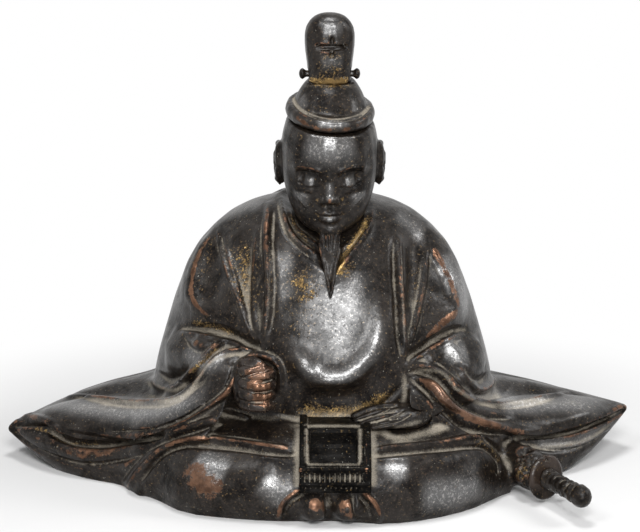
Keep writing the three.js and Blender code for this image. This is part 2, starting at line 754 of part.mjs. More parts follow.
// Upright crest at the back of the crown, with a slit in its folded front
const crestFrame = new THREE.Group();
crestFrame.position.copy(capFrame.position);
crestFrame.rotation.x = radians(cap.tilt);
crestFrame.updateMatrix();
const crestFoot = new THREE.Vector3(0, crest.back, cap.roll + cap.dome * 0.9);
function crestSolid() {
  // height, width from the foot's (0) to the widest (1) and beyond, share of the full section
  const levels = [
    [0, 0, 1],
    [0.2, 0.1, 1],
    [0.45, 0.75, 1],
    [0.66, 1, 1],
    [0.82, 0.9, 0.93],
    [0.93, 0.6, 0.72],
    [0.985, 0.3, 0.42],
    [1, 0.1, 0.12],
  ];
  const rings = [];
  const steps = 11;
  const around = 14;
  for (let j = 0; j <= steps; j++) {
    const value = (k) => smoothAt(levels.map((l) => l[k]), j / steps);
    const halfWidth = (THREE.MathUtils.lerp(crest.footWidth, crest.width, value(1)) / 2) * value(2);
    const halfDepth = (crest.depth / 2) * value(2);
    rings.push(
      Array.from({ length: around }, (_, i) => {
        const turn = (i / around) * Math.PI * 2;
        return new THREE.Vector3(
          crestFoot.x + halfWidth * Math.sign(Math.cos(turn)) * Math.abs(Math.cos(turn)) ** 0.85,
          crestFoot.y + halfDepth * Math.sign(Math.sin(turn)) * Math.abs(Math.sin(turn)) ** 0.85,
          crestFoot.z + crest.height * value(0),
        );
      }),
    );
  }
  const tenon = new THREE.CylinderGeometry(crest.tenonRadius, crest.tenonRadius, 6, 16);
  tenon.rotateX(Math.PI / 2);
  tenon.translate(crestFoot.x, crestFoot.y, crestFoot.z - 2);
  const faceY = crestFoot.y - (crest.depth / 2) * 1.06;
  const slitZ = crestFoot.z + crest.height - crestSlit.drop;
  const slit = boxSolid(
    new THREE.Vector3(-crestSlit.width / 2, faceY - 2, slitZ - crestSlit.height / 2),
    new THREE.Vector3(crestSlit.width / 2, faceY + crestSlit.depth, slitZ + crestSlit.height / 2),
  );
  return joined(solid(skin(rings)), solid(tenon)).subtract(slit);
}

function pinSolid() {
  const half = crest.footWidth / 2 + hairpin.reach;
  const z = crestFoot.z + hairpin.lift;
  const end = (side) => new THREE.Vector3(side * half, crestFoot.y, z);
  const path = [end(-1), new THREE.Vector3(0, crestFoot.y, z), end(1)];
  const rod = solid(bar(path, path.map(() => hairpin.radius), 10, 2));
  const knobs = [-1, 1].map((side) =>
    ellipsoid(end(side), new THREE.Vector3(hairpin.knob * 0.62, hairpin.knob * 0.8, hairpin.knob), 8, 6),
  );
  return joined(rod, ...knobs);
}

const pin = pinSolid();
const pinBore = (() => {
  const radius = hairpin.radius + seam;
  const bore = new THREE.CylinderGeometry(radius, radius, crest.footWidth + 12, 12);
  bore.rotateZ(Math.PI / 2);
  bore.translate(0, crestFoot.y, crestFoot.z + hairpin.lift);
  return solid(bore);
})();
const crestWhole = crestSolid();
const crestPiece = crestWhole.subtract(pinBore);
const capInHead = moved(capSolid(), capFrame.matrix);
const crestInHead = moved(crestWhole, crestFrame.matrix);
const pinInHead = moved(pin, crestFrame.matrix);
const capPiece = largest(capInHead.subtract(grown(crestInHead)).subtract(grown(pinInHead)));
const headPiece = largest(headSolid);

// Robe castings

const trunkOuter = solid(fold(trunkSkin(0, 28, 20, 17), trunkFolds)).subtract(underFloor);
const trunkInner = solid(trunkSkin(wall + foldDepth, 8, 6, 7)).subtract(
  boxSolid(at(-100, -100, 78), at(100, 100, 200)),
);
const neckAndBeard = joined(grown(neckSolid()), grown(beardSolid()));

const neckPinMatrix = new THREE.Matrix4().makeTranslation(
  neckFoot.x,
  neckFoot.y,
  neckFoot.z - neck.tenonLength * 0.62,
);
function neckPinSolid(clearance = 0, extra = 0) {
  const radius = neckPin.radius + clearance;
  const rod = new THREE.CylinderGeometry(radius, radius, neckPin.length + extra, 12);
  rod.rotateZ(Math.PI / 2);
  return solid(rod);
}

// Depth of the trunk's front at one place of the front view
function frontOfTrunk(surface, x, z) {
  const ray = new THREE.Raycaster(at(x, -200, z), new THREE.Vector3(0, 1, 0));
  const hit = ray.intersectObject(new THREE.Mesh(surface))[0];
  return hit ? hit.point.y : placed(head).y;
}

// The robe's collar, a rolled edge from the back of the neck to the crossing in front
const collarSolids = [
  { side: -1, front: collarFront.right },
  { side: 1, front: collarFront.left },
].map(({ side, front }) => {
  const surface = geometryOf(trunkOuter);
  const behind = collarBack.map(([x, y, z], i) => at(bodyAxis + (i ? side : -side) * x, y, z));
  const ahead = front.map(([x, z]) => at(x, 0, z).setY(frontOfTrunk(surface, x, z) + 0.3));
  return solid(bar([...behind, ...ahead], [collarRoll, collarRoll], 6, 9));
});

// The neckline is open round the neck and under the jaw
const necklineBowl = ellipsoid(
  neckFoot.clone().add(new THREE.Vector3(0, -neckline.front, 5.6 + neckline.depth)),
  new THREE.Vector3(neck.width / 2 + neckline.room, neck.depth / 2 + neckline.front, neckline.depth),
  14,
  8,
);

// A boss inside the trunk takes the neck's tenon
const bossSolid = tenonSolid(
  neck.tenonRadius + neckBoss.wall,
  neckBoss.height - neck.tenonLength,
).intersect(trunkOuter);
const trunkPiece = largest(
  joined(trunkOuter.subtract(trunkInner), bossSolid, ...collarSolids)
    .subtract(necklineBowl)
    .subtract(grown(moved(skull, headFrame.matrix)))
    .subtract(neckAndBeard)
    .subtract(moved(neckPinSolid(seam, 8), neckPinMatrix)),
);
const headBored = headPiece.subtract(moved(moved(neckPinSolid(seam, 8), neckPinMatrix), toHead));

// Sword, in its own frame: the hilt runs along +X from the guard's middle
const swordFrame = new THREE.Group();
swordFrame.position.copy(placed(sword));
swordFrame.rotation.set(0, -radians(sword.rise), -Math.PI / 2 + radians(sword.turn), "ZYX");
swordFrame.updateMatrix();

function guardSolid() {
  const rim = [-1, -0.35, 0.35, 1].map((share) =>
    Array.from({ length: 12 }, (_, k) => {
      const turn = (k / 12) * Math.PI * 2;
      const grow = Math.abs(share) === 1 ? 0.86 : 1;
      return new THREE.Vector3(
        (share * guard.thickness) / 2,
        (guard.width / 2) * grow * Math.cos(turn),
        (guard.height / 2) * grow * Math.sin(turn),
      );
    }),
  );
  return solid(loft(rim, 2, 3));
}

function hiltSolid() {
  const start = guard.thickness / 2 + seam;
  const steps = grip.wraps * 2;
  const rings = [];
  for (let j = 0; j <= steps; j++) {
    const t = j / steps;
    const taper = 1.04 - 0.1 * Math.sin(Math.PI * t);
    const radius = grip.radius * taper + grip.wrapLift * Math.cos(t * grip.wraps * Math.PI * 2);
    rings.push([start + t * grip.length, radius]);
  }
  const end = start + grip.length;
  for (let j = 0; j <= 4; j++) {
    const bend = (j / 4) * (Math.PI / 2) * 0.92;
    rings.push([end + 1 + (pommel.length - 1) * Math.sin(bend), pommel.radius * Math.cos(bend)]);
  }
  const skinRings = rings.map(([x, radius]) =>
    Array.from({ length: 10 }, (_, k) => {
      const turn = (k / 10) * Math.PI * 2;
      return new THREE.Vector3(x, radius * 0.88 * Math.cos(turn), radius * Math.sin(turn));
    }),
  );
  return solid(skin(skinRings)).add(tangSolid(0));
}

function tangSolid(clearance) {
  const half = new THREE.Vector3(0, tang.width / 2 + clearance, tang.height / 2 + clearance);
  const low = new THREE.Vector3(-tang.length - clearance, -half.y, -half.z);
  return boxSolid(low, new THREE.Vector3(guard.thickness, half.y, half.z));
}

const guardPiece = guardSolid().subtract(tangSolid(seam));
const hiltWhole = hiltSolid();
const swordRoom = moved(grown(joined(guardSolid(), tangSolid(0))), swordFrame.matrix);

// The boss that takes the sword's tang, cast on the front of the left sleeve
function swordBoss() {
  const face = -guard.thickness / 2 - seam;
  const points = [
    [face, 0.72],
    [face - 2, 1],
    [face - 9, 1.08],
    [face - swordBossLength, 0.9],
  ].map(([x, grow]) =>
    Array.from({ length: 8 }, (_, k) => {
      const turn = (k / 8) * Math.PI * 2;
      return new THREE.Vector3(x, 5.4 * grow * Math.cos(turn), 6.2 * grow * Math.sin(turn));
    }),
  );
  return moved(solid(loft(points, 2, 8)), swordFrame.matrix);
}

// Hands. room makes each finger and the palm larger, for the hollow that a sleeve leaves round them.

// sizes that the two hands below are drawn at
const fistDrawn = { width: 13.5, height: 17.5 };
const palmDrawn = { length: 23, width: 12.5 };

function fistSolid(room = 0) {
  const wide = fist.width / fistDrawn.width;
  const tall = fist.height / fistDrawn.height;
  const p = (x, y, z) => new THREE.Vector3(x * wide, y * wide, z * tall);
  const radii = (list) => list.map((r) => r + room);
  const back = ellipsoid(
    p(-1.8, 0.6, -0.4),
    new THREE.Vector3(5.4 * wide + room, 5.6 * wide + room, 8 * tall + room),
    10,
    7,
  );
  const fingers = [5.2, 1.7, -1.8, -5].map((z, i) => {
    const r = fist.fingerRadius * (i === 3 ? 0.88 : 1);
    const curl = [
      p(-2.6, -3.6, z),
      p(1.6, -5.9, z - 0.2),
      p(5, -4.6, z - 0.5),
      p(5.8, -0.6, z - 0.6),
      p(3.4, 1.4, z - 0.4),
    ];
    return solid(bar(curl, radii([r, r * 1.05, r, r * 0.95, r * 0.85]), 6, 4));
  });
  const thumbPath = [p(-3.6, 1, 6.4), p(-0.6, -2, 8.2), p(3, -3.8, 7.6)];
  const thumb = solid(bar(thumbPath, radii([2.3, 2.2, 1.8]), 6, 3));
  const wristPath = [p(-1.6, 1.6, -0.6), p(-4, 4.6, -0.6), p(-6.6, 8, -0.4)];
  const wrist = solid(bar(wristPath, radii([4.6, wristRadius, wristRadius]), 8, 3));
  return joined(back, ...fingers, thumb, wrist);
}

function palmSolid(room = 0) {
  const long = palm.length / palmDrawn.length;
  const wide = palm.width / palmDrawn.width;
  const p = (x, y, z) => new THREE.Vector3(x * long, y * wide, z);
  const radii = (list) => list.map((r) => r + room);
  const backRadii = new THREE.Vector3(7.6 * long + room, 6 * wide + room, 3 + room);
  const back = ellipsoid(p(3.4, 0.4, 0.2), backRadii, 10, 7);
  const fingers = [0, 1, 2, 3].map((i) => {
    const spread = 4.2 - 2.75 * i;
    const tipX = [-13.6, -13, -11.8, -9.2][i];
    const r = palm.fingerRadius * (i === 3 ? 0.86 : 1);
    const path = [
      p(1.5, spread * 1.05, 0.9),
      p(-3.6, spread * 1.08, 1.7),
      p((tipX - 3.6) / 2, spread, 1.6),
      p(tipX, spread * 0.86, 0.6),
    ];
    return solid(bar(path, radii([r, r, r * 0.95, r * 0.72]), 6, 4));
  });
  const wristPath = [p(7, 0.8, 0), p(11, 2, 0.2), p(15.5, 4.6, 0.6)];
  const wrist = solid(bar(wristPath, radii([3.4, wristRadius, wristRadius * 0.9]), 8, 3));
  return joined(back, ...fingers, wrist);
}

const fistFrame = new THREE.Group();
fistFrame.position.copy(placed(fist));
fistFrame.rotation.set(radians(-8), 0, radians(-14));
fistFrame.updateMatrix();
const palmFrame = new THREE.Group();
palmFrame.position.copy(placed(palm));
palmFrame.rotation.set(radians(20), radians(-3), radians(10));
palmFrame.updateMatrix();

const fistWhole = fistSolid();
const palmWhole = palmSolid();
const fistRoom = moved(fistSolid(seam), fistFrame.matrix);
const palmRoom = moved(palmSolid(seam), palmFrame.matrix);

const cutByTrunk = grown(trunkOuter);
function sleevePiece(form, extra, cutters) {
  const whole = extra ? sleeveSolid(form).add(extra).subtract(underFloor) : sleeveSolid(form);
  const open = whole.subtract(cutByTrunk).subtract(sleeveHollow(form));
  return largest(cutters.reduce((rest, cutter) => rest.subtract(cutter), open));
}
const rightSleeve = sleevePiece(sleeves.right, null, [fistRoom]);
const leftSleeve = sleevePiece(sleeves.left, swordBoss(), [palmRoom, swordRoom]);

const lapWhole = lapSolid();
const sleeveBodies = [sleeves.right, sleeves.left].map((form) => grown(sleeveSolid(form)));
const bossCut = grown(swordBoss());
const lapTrimmed = sleeveBodies.reduce(
  (rest, cutter) => rest.subtract(cutter),
  lapWhole.subtract(cutByTrunk),
);
const lapPiece = largest(lapTrimmed.subtract(bossCut).subtract(lapHollow()).subtract(swordRoom));

// Sash: a band bent over the edge of the lap, with a raised border and a fringe
const acrossTheLap = new THREE.Matrix4().makeBasis(
  new THREE.Vector3(0, 1, 0),
  new THREE.Vector3(0, 0, 1),
  new THREE.Vector3(1, 0, 0),
);
function sashSolid() {
  const half = sash.width / 2;
  const front = -50.6;
  const foot = sash.top - sash.drop - 2;
  const side = [
    [-30, sash.top],
    [-38, sash.top - 0.6],
    [-46.6, sash.top - 2.6],
    [-50, sash.top - 6],
    [front, sash.top - 10],
    [front - 0.8, foot],
  ];
  const line = new THREE.SplineCurve(side.map(([y, z]) => new THREE.Vector2(y * scale.y, z * scale.z)));
  const track = line.getSpacedPoints(9);
  const strip = (from, to, start, end, lift) => {
    const kept = track.slice(start, end + 1);
    const outer = kept.map((q, i) => {
      const ahead = track[Math.min(start + i + 1, track.length - 1)];
      const behind = track[Math.max(start + i - 1, 0)];
      const normal = new THREE.Vector2(ahead.y - behind.y, behind.x - ahead.x).normalize();
      return q.clone().addScaledVector(normal, lift);
    });
    const inner = kept.map((q, i) => q.clone().lerp(outer[i], -3 / Math.max(lift, 0.5)));
    const shape = new THREE.Shape([...outer, ...inner.reverse()]);
    const extruded = new THREE.ExtrudeGeometry(shape, { depth: to - from, bevelEnabled: false });
    extruded.applyMatrix4(acrossTheLap);
    extruded.translate(sash.x * scale.x + from, 0, 0);
    extruded.deleteAttribute("normal").deleteAttribute("uv");
    return solid(facingOut(mergeVertices(extruded, 1e-4)));
  };
  const fringeStart = track.length - 4;
  const bands = [
    strip(-half + 0.4, half - 0.4, 0, track.length - 1, sash.lift * 0.45),
    strip(-half, -half + sash.border, 0, track.length - 1, sash.lift),
    strip(half - sash.border, half, 0, track.length - 1, sash.lift),
    strip(-half, half, fringeStart - 1, fringeStart, sash.lift),
    strip(-half, half, track.length - 2, track.length - 1, sash.lift),
  ];
  const pitch = (sash.width - 2 * sash.border) / fringe.strands;
  for (let i = 0; i < fringe.strands; i++) {
    const left = -half + sash.border + i * pitch + fringe.gap / 2;
    bands.push(strip(left, left + pitch - fringe.gap, fringeStart, track.length - 2, sash.lift * 0.9));
  }
  return joined(...bands);
}

const lapCut = grown(lapWhole);
const sashPiece = largest(
  sashSolid().subtract(lapCut).subtract(cutByTrunk).subtract(palmRoom),
);

// Each hand is cut to rest on what is under it
function seatedHand(whole, frame, neighbours) {
  const back = frame.matrix.clone().invert();
  return largest(neighbours.reduce((rest, n) => rest.subtract(moved(grown(n), back)), whole));
}
const fistPiece = seatedHand(fistWhole, fistFrame, [lapWhole, trunkOuter]);
const palmPiece = seatedHand(palmWhole, palmFrame, [lapWhole, trunkOuter]);

// Finishes
function finish(color, roughness, metalness) {
  return new THREE.MeshStandardMaterial({ color, roughness, metalness });
}
const darkBronze = finish(0x2b2724, 0.42, 0.85);
const wornBronze = finish(0x5a3b2a, 0.36, 0.9);
const blackPanel = finish(0x141211, 0.5, 0.7);
const brazedGold = finish(0x8a6a3a, 0.5, 0.85);

function piece(name, made, material, parent) {
  const mesh = new THREE.Mesh(geometryOf(made), material);
  mesh.name = name;
  parent.add(mesh);
  return mesh;
}

const figure = new THREE.Group();
figure.add(headFrame, swordFrame, fistFrame, palmFrame);
headFrame.add(crestFrame);
piece("trunk_casting", trunkPiece, darkBronze, figure);
piece("right_sleeve", rightSleeve, darkBronze, figure);
piece("left_sleeve", leftSleeve, darkBronze, figure);
piece("lap_casting", lapPiece, darkBronze, figure);
piece("head_casting", headBored, darkBronze, headFrame);
piece("court_cap", capPiece, darkBronze, headFrame);
piece("cap_crest", crestPiece, darkBronze, crestFrame);
piece("cap_hairpin", pin, brazedGold, crestFrame);
piece("neck_pin", moved(neckPinSolid(), neckPinMatrix), wornBronze, figure);
piece("right_hand", fistPiece, wornBronze, fistFrame);
piece("left_hand", palmPiece, darkBronze, palmFrame);
piece("sword_guard", guardPiece, wornBronze, swordFrame);
piece("sword_hilt", hiltWhole, darkBronze, swordFrame);
piece("sash_panel", sashPiece, blackPanel, figure);

// The origin is the middle of the footprint, on the floor
const bounds = new THREE.Box3().setFromObject(figure, true);
const middle = bounds.getCenter(new THREE.Vector3());
figure.position.set(-middle.x, -middle.y, -bounds.min.z);

export default figure;
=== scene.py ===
import bpy
import math
import numpy as np
from mathutils import Matrix, Vector, noise
from mathutils.bvhtree import BVHTree


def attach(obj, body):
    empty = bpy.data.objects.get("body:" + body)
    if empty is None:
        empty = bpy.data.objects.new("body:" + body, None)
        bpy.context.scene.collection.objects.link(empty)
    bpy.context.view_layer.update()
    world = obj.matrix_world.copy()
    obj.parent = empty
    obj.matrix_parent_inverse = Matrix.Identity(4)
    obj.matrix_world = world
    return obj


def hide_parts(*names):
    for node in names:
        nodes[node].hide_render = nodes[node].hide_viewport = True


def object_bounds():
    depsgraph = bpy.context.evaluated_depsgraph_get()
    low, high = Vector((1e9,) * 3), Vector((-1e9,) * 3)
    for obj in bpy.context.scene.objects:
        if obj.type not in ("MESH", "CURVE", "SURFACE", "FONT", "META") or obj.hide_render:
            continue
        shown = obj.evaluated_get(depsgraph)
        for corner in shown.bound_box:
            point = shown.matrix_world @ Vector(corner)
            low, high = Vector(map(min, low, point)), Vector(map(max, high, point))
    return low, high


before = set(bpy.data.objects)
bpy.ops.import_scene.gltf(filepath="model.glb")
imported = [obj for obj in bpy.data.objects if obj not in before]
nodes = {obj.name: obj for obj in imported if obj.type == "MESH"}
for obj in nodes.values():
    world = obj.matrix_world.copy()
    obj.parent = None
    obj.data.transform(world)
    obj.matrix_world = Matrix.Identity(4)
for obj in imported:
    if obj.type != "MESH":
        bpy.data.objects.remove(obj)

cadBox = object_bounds()
mm = 0.001
print("frame loaded,", len(nodes), "nodes")

# camera at the photograph's angle
photoView = {"aim": (0.5, 1.89, 69.4), "distance": 700.0, "elevation": 15.0, "lens": 122.3,
             "pixel": 0.322, "middle": (320, 266)}
tilt = math.radians(photoView["elevation"])
viewRight = Vector((1, 0, 0))
viewUp = Vector((0, math.sin(tilt), math.cos(tilt)))
viewAhead = Vector((0, math.cos(tilt), -math.sin(tilt)))
pixelStep = photoView["pixel"] / photoView["distance"]
middleU, middleV = photoView["middle"]
eye = Vector(photoView["aim"]) - viewAhead * photoView["distance"]
bpy.ops.object.select_all(action="DESELECT")
bpy.ops.object.camera_add(location=eye * mm, rotation=(math.pi / 2 - tilt, 0, 0))
camera = bpy.context.object
camera.name = "photoCamera"
camera.data.lens = photoView["lens"]
camera.data.sensor_width = 36
camera.data.clip_start = 0.01
camera.data.clip_end = 20
bpy.context.scene.camera = camera
bpy.context.scene.view_settings.view_transform = "Standard"


# rays that marks are drawn along: from the camera through a place in the photograph, from behind, or
# in the head's own frame from its front and sides
def photoRay(u, v):
    across = viewRight * (u - middleU) * pixelStep
    up = viewUp * (middleV - v) * pixelStep
    return eye, (viewAhead + across + up).normalized()


def backRay(x, z):
    return Vector((x, 300, z)), Vector((0, -1, 0))


# head frame, as in the solid model: the face looks along -Y, nodding forward
headPlace = {"x": 3.5, "y": -3.61, "z": 109.5, "nod": 13}
headMatrix = Matrix.Translation((headPlace["x"], headPlace["y"], headPlace["z"])) @ Matrix.Rotation(
    math.radians(headPlace["nod"]), 4, "X")


def faceRay(x, z):
    start = headMatrix @ Vector((x, -80, z))
    return start, (headMatrix.to_3x3() @ Vector((0, 1, 0))).normalized()


# where points show in the photograph's frame
def projected(spots):
    apart = spots - np.array(eye)
    depth = apart @ np.array(viewAhead)
    across = apart @ np.array(viewRight) / depth / pixelStep
    up = apart @ np.array(viewUp) / depth / pixelStep
    return middleU + across, middleV - up


def sideRay(side):
    def ray(y, z):
        start = headMatrix @ Vector((side * 80, y, z))
        return start, (headMatrix.to_3x3() @ Vector((-side, 0, 0))).normalized()
    return ray


# mesh work in millimetres
def readPoints(mesh):
    flat = np.empty(len(mesh.vertices) * 3)
    mesh.vertices.foreach_get("co", flat)
    return flat.reshape(-1, 3) / mm


def writePoints(mesh, spots):
    mesh.vertices.foreach_set("co", (spots * mm).ravel())
    mesh.update()


def readNormals(mesh):
    flat = np.empty(len(mesh.vertices) * 3)
    mesh.vertex_normals.foreach_get("vector", flat)
    return flat.reshape(-1, 3)


def smoothed(mesh, spots, rounds, weight=None, pull=0.5):
    flat = np.empty(len(mesh.edges) * 2, np.int64)
    mesh.edges.foreach_get("vertices", flat)
    first, second = flat.reshape(-1, 2).T
    count = len(spots)
    degree = np.maximum(np.bincount(first, minlength=count) + np.bincount(second, minlength=count), 1)
    spots = spots.copy()
    share = pull if weight is None else pull * weight[:, None]
    for _ in range(rounds):
        mean = np.empty_like(spots)
        for axis in range(3):
            mean[:, axis] = (np.bincount(first, weights=spots[second, axis], minlength=count)
                             + np.bincount(second, weights=spots[first, axis], minlength=count)) / degree
        spots += share * (mean - spots)
    return spots


def activate(piece):
    bpy.ops.object.select_all(action="DESELECT")
    piece.select_set(True)
    bpy.context.view_layer.objects.active = piece


def mergeDoubles(piece, distance=0.01):
    activate(piece)
    bpy.ops.object.mode_set(mode="EDIT")
    bpy.ops.mesh.select_all(action="SELECT")
    bpy.ops.mesh.remove_doubles(threshold=distance * mm)
    bpy.ops.object.mode_set(mode="OBJECT")


# a finer skin over the solids named: seams closed, facets melted
def skinOver(name, nodeNames, skin, weightOf=None):
    closeSeams = skin.get("closeSeams", 0)
    copies = []
    for nodeName in nodeNames:
        copy = bpy.data.objects.new(name, nodes[nodeName].data.copy())
        copy.data.materials.clear()
        bpy.context.scene.collection.objects.link(copy)
        mergeDoubles(copy)
        if closeSeams:
            grow = copy.modifiers.new("grow", "DISPLACE")
            grow.strength = closeSeams * mm
            grow.mid_level = 0
            bpy.ops.object.modifier_apply(modifier="grow")
        copies.append(copy)
    bpy.ops.object.select_all(action="DESELECT")
    for copy in copies:
        copy.select_set(True)
    bpy.context.view_layer.objects.active = copies[0]
    if len(copies) > 1:
        bpy.ops.object.join()
    piece = bpy.context.object
    piece.name = name
    piece.data.name = name
    bpy.ops.object.modifier_add(type="REMESH")
    remesh = piece.modifiers[-1]
    remesh.mode = "VOXEL"
    remesh.voxel_size = skin["voxel"] * mm
    remesh.use_smooth_shade = True
    bpy.ops.object.modifier_apply(modifier=remesh.name)
    spots = readPoints(piece.data)
    weight = np.ones(len(spots)) if weightOf is None else weightOf(spots)
    flat = spots[:, 2] < 0.5
    soft = smoothed(piece.data, spots, skin["soften"], weight)
    soft[flat, 2] = spots[flat, 2]
    writePoints(piece.data, soft)
    if closeSeams:
        writePoints(piece.data, soft - readNormals(piece.data) * closeSeams * 0.6)
    return piece


def keepInBox(piece):
    low, high = (np.array(corner) / mm for corner in cadBox)
    writePoints(piece.data, np.clip(readPoints(piece.data), low + 0.01, high - 0.01))


def treeOf(mesh):
    spots = readPoints(mesh)
    return BVHTree.FromPolygons(spots.tolist(), [tuple(p.vertices) for p in mesh.polygons])


# smooth line through the marks, evenly dense
def curveThrough(marks, step):
    marks = np.array(marks, float)
    if len(marks) == 1:
        return marks
    if len(marks) == 2:
        marks = np.array([marks[0], marks.mean(0), marks[1]])
    ends = np.vstack([2 * marks[0] - marks[1], marks, 2 * marks[-1] - marks[-2]])
    line = []
    for i in range(1, len(ends) - 2):
        a, b, c, d = ends[i - 1:i + 3]
        pieces = max(2, int(np.linalg.norm(c - b) / step))
        for t in np.arange(pieces) / pieces:
            line.append(0.5 * (2 * b + (c - a) * t + (2 * a - 5 * b + 4 * c - d) * t * t
                               + (3 * b - 3 * c + d - a) * t ** 3))
    line.append(marks[-1])
    return np.array(line)


# where a drawn line lands on the surface, with the surface's normals and the line's direction there
def traced(tree, marks, ray, step):
    line, normals = [], []
    for u, v in curveThrough(marks, step):
        spot, normal, _, _ = tree.ray_cast(*ray(u, v))
        if spot is not None:
            line.append(spot)
            normals.append(normal)
    if not line:
        return None
    line = np.array(line)
    normals = np.array(normals)
    if len(line) > 1:
        tangent = np.gradient(line, axis=0)
        tangent /= np.maximum(np.linalg.norm(tangent, axis=1, keepdims=True), 1e-9)
    else:
        tangent = np.zeros_like(line)
    return line, normals, tangent


# shares of a stroke: a round ridge, a sharp crease, or a lip that is steep on its right side
def profile(form, near, side):
    if form == "crease":
        return np.clip(1 - near, 0, 1) ** 1.5
    if form == "lip":
        gentle = 0.5 + 0.5 * np.cos(np.pi * np.clip(near, 0, 1))
        steep = 0.5 + 0.5 * np.cos(np.pi * np.clip(near / 0.3, 0, 1))
        gutter = 0.5 * np.sin(np.pi * np.clip((near - 0.25) / 0.45, 0, 1))
        return np.where(side > 0, gentle, steep - gutter)
    return 0.5 + 0.5 * np.cos(np.pi * np.clip(near, 0, 1))


# one stroke: width and lift in mm, and its marks in the frame of the ray that draws it
def brush(wide, lift, *marks, form="ridge", taper=0.18):
    return {"marks": marks, "wide": wide, "lift": lift, "form": form, "taper": taper}


def crease(wide, lift, *marks, taper=0.18):
    return brush(wide, lift, *marks, form="crease", taper=taper)


# the points that a stroke reaches and the share of its lift that each takes
def strokeShares(spots, normals, tree, stroke, ray, step):
    found = traced(tree, stroke["marks"], ray, step)
    if found is None:
        return None
    line, lineNormals, tangent = found
    wide = stroke["wide"]
    inReach = np.all((spots > line.min(0) - wide) & (spots < line.max(0) + wide), axis=1)
    chosen = np.nonzero(inReach)[0]
    if not len(chosen):
        return None
    shares = np.empty(len(chosen))
    batch = 4000  # points at a time, which keeps the distance table small
    for start in range(0, len(chosen), batch):
        part = chosen[start:start + batch]
        distance = np.sqrt(((spots[part][:, None, :] - line[None]) ** 2).sum(2))
        nearest = distance.argmin(1)
        apart = spots[part] - line[nearest]
        ahead = (apart * tangent[nearest]).sum(1)
        across = apart - ahead[:, None] * tangent[nearest]
        inside = (nearest > 0) & (nearest < len(line) - 1)
        distance = np.where(inside, np.linalg.norm(across, axis=1), np.linalg.norm(apart, axis=1))
        side = (apart * np.cross(lineNormals[nearest], tangent[nearest])).sum(1)
        share = profile(stroke["form"], distance / wide, side)
        facing = np.clip((normals[part] * lineNormals[nearest]).sum(1) * 2, 0, 1)
        if len(line) > 1:
            along = (nearest + np.clip(ahead, -1, 1)) / (len(line) - 1)
            fromEnd = np.minimum(along, 1 - along) / stroke["taper"]
            share = share * np.clip(fromEnd + 0.12, 0, 1) ** 0.8
        shares[start:start + batch] = share * facing
    return chosen, shares


# presses folds into a skin (lift below 0) or raises them, all from the same resting shape
def carve(piece, strokes, ray, step=1.2):
    mesh = piece.data
    spots, normals, tree = readPoints(mesh), readNormals(mesh), treeOf(mesh)
    move = np.zeros(len(spots))
    for stroke in strokes:
        found = strokeShares(spots, normals, tree, stroke, ray, step)
        if found is None:
            print("   a stroke misses", piece.name, stroke["marks"][0])
            continue
        chosen, shares = found
        move[chosen] += shares * stroke["lift"]
    writePoints(mesh, spots + normals * move[:, None])


def relax(piece, rounds, pull=0.5):
    spots = readPoints(piece.data)
    flat = spots[:, 2] < 0.3
    soft = smoothed(piece.data, spots, rounds, pull=pull)
    soft[flat, 2] = spots[flat, 2]
    writePoints(piece.data, soft)


# masks kept on the points: rub where hands reach, dust in the hollows, gold where it was brazed, and
# polish where it shines, which is also painted sheen: a raised reflection placed where highlights are wanted
wear = {"rub": 0.72, "rubBend": 1.6, "dust": 0.8, "dustBend": 1.5}


def maskPoints(piece, skin):
    mesh = piece.data
    spots, normals = readPoints(mesh), readNormals(mesh)
    near = ((spots - smoothed(mesh, spots, skin["fine"])) * normals).sum(1)
    wide = ((spots - smoothed(mesh, spots, skin["coarse"])) * normals).sum(1)
    ridgeAt, creaseAt = skin["ridgeAt"], skin["creaseAt"]
    ridges = np.clip(0.6 * near / ridgeAt + 0.4 * wide / (ridgeAt * 3), 0, 1)
    hollows = np.clip(0.55 * -near / creaseAt + 0.45 * -wide / (creaseAt * 3), 0, 1)
    rub = wear["rub"] * ridges ** wear["rubBend"]
    up = np.clip(0.55 + 0.6 * normals[:, 2], 0.15, 1)
    dust = wear["dust"] * hollows ** wear["dustBend"] * up
    return {"rub": rub, "dust": dust, "gold": np.zeros(len(spots)), "polish": np.zeros(len(spots))}


def paint(piece, masks, ray, step=2.0, **painted):
    mesh = piece.data
    spots, normals, tree = readPoints(mesh), readNormals(mesh), treeOf(mesh)
    for name, strokes in painted.items():
        for stroke in strokes:
            found = strokeShares(spots, normals, tree, stroke, ray, step)
            if found is None:
                continue
            chosen, shares = found
            masks[name][chosen] = np.clip(masks[name][chosen] + shares * stroke["lift"], 0, 1)


def keepMasks(piece, masks):
    for name, values in masks.items():
        layer = piece.data.attributes.new(name, "FLOAT", "POINT")
        layer.data.foreach_set("value", values.astype(np.float32))


# a piece's own masks with what is painted on them from the photograph's side
def weather(piece, skin, **painted):
    masks = maskPoints(piece, skin)
    paint(piece, masks, photoRay, **painted)
    keepMasks(piece, masks)


def shadeSmooth(piece):
    activate(piece)
    bpy.ops.object.shade_smooth()


# the robe is one skin over its four castings, carved as one so that folds cross the seams
robe = {"voxel": 0.62, "closeSeams": 0.45, "soften": 30, "fine": 6, "coarse": 40, "ridgeAt": 0.13,
        "creaseAt": 0.12, "tipAt": 104.5, "tipFade": 16, "sharpAngle": 50,
        "cutRight": -41.0, "cutLeft": 42.0, "cutWaist": 35.0, "cutLap": -4.0}


def robeWeight(spots):
    tips = np.clip((robe["tipAt"] - np.abs(spots[:, 0])) / robe["tipFade"], 0.05, 1)
    return tips * np.where(spots[:, 2] < 0.5, 0.4, 1)


robeSkin = skinOver("robe_skin", ["trunk_casting", "right_sleeve", "left_sleeve", "lap_casting"], robe,
                    robeWeight)
print("robe skin,", len(robeSkin.data.polygons), "faces")

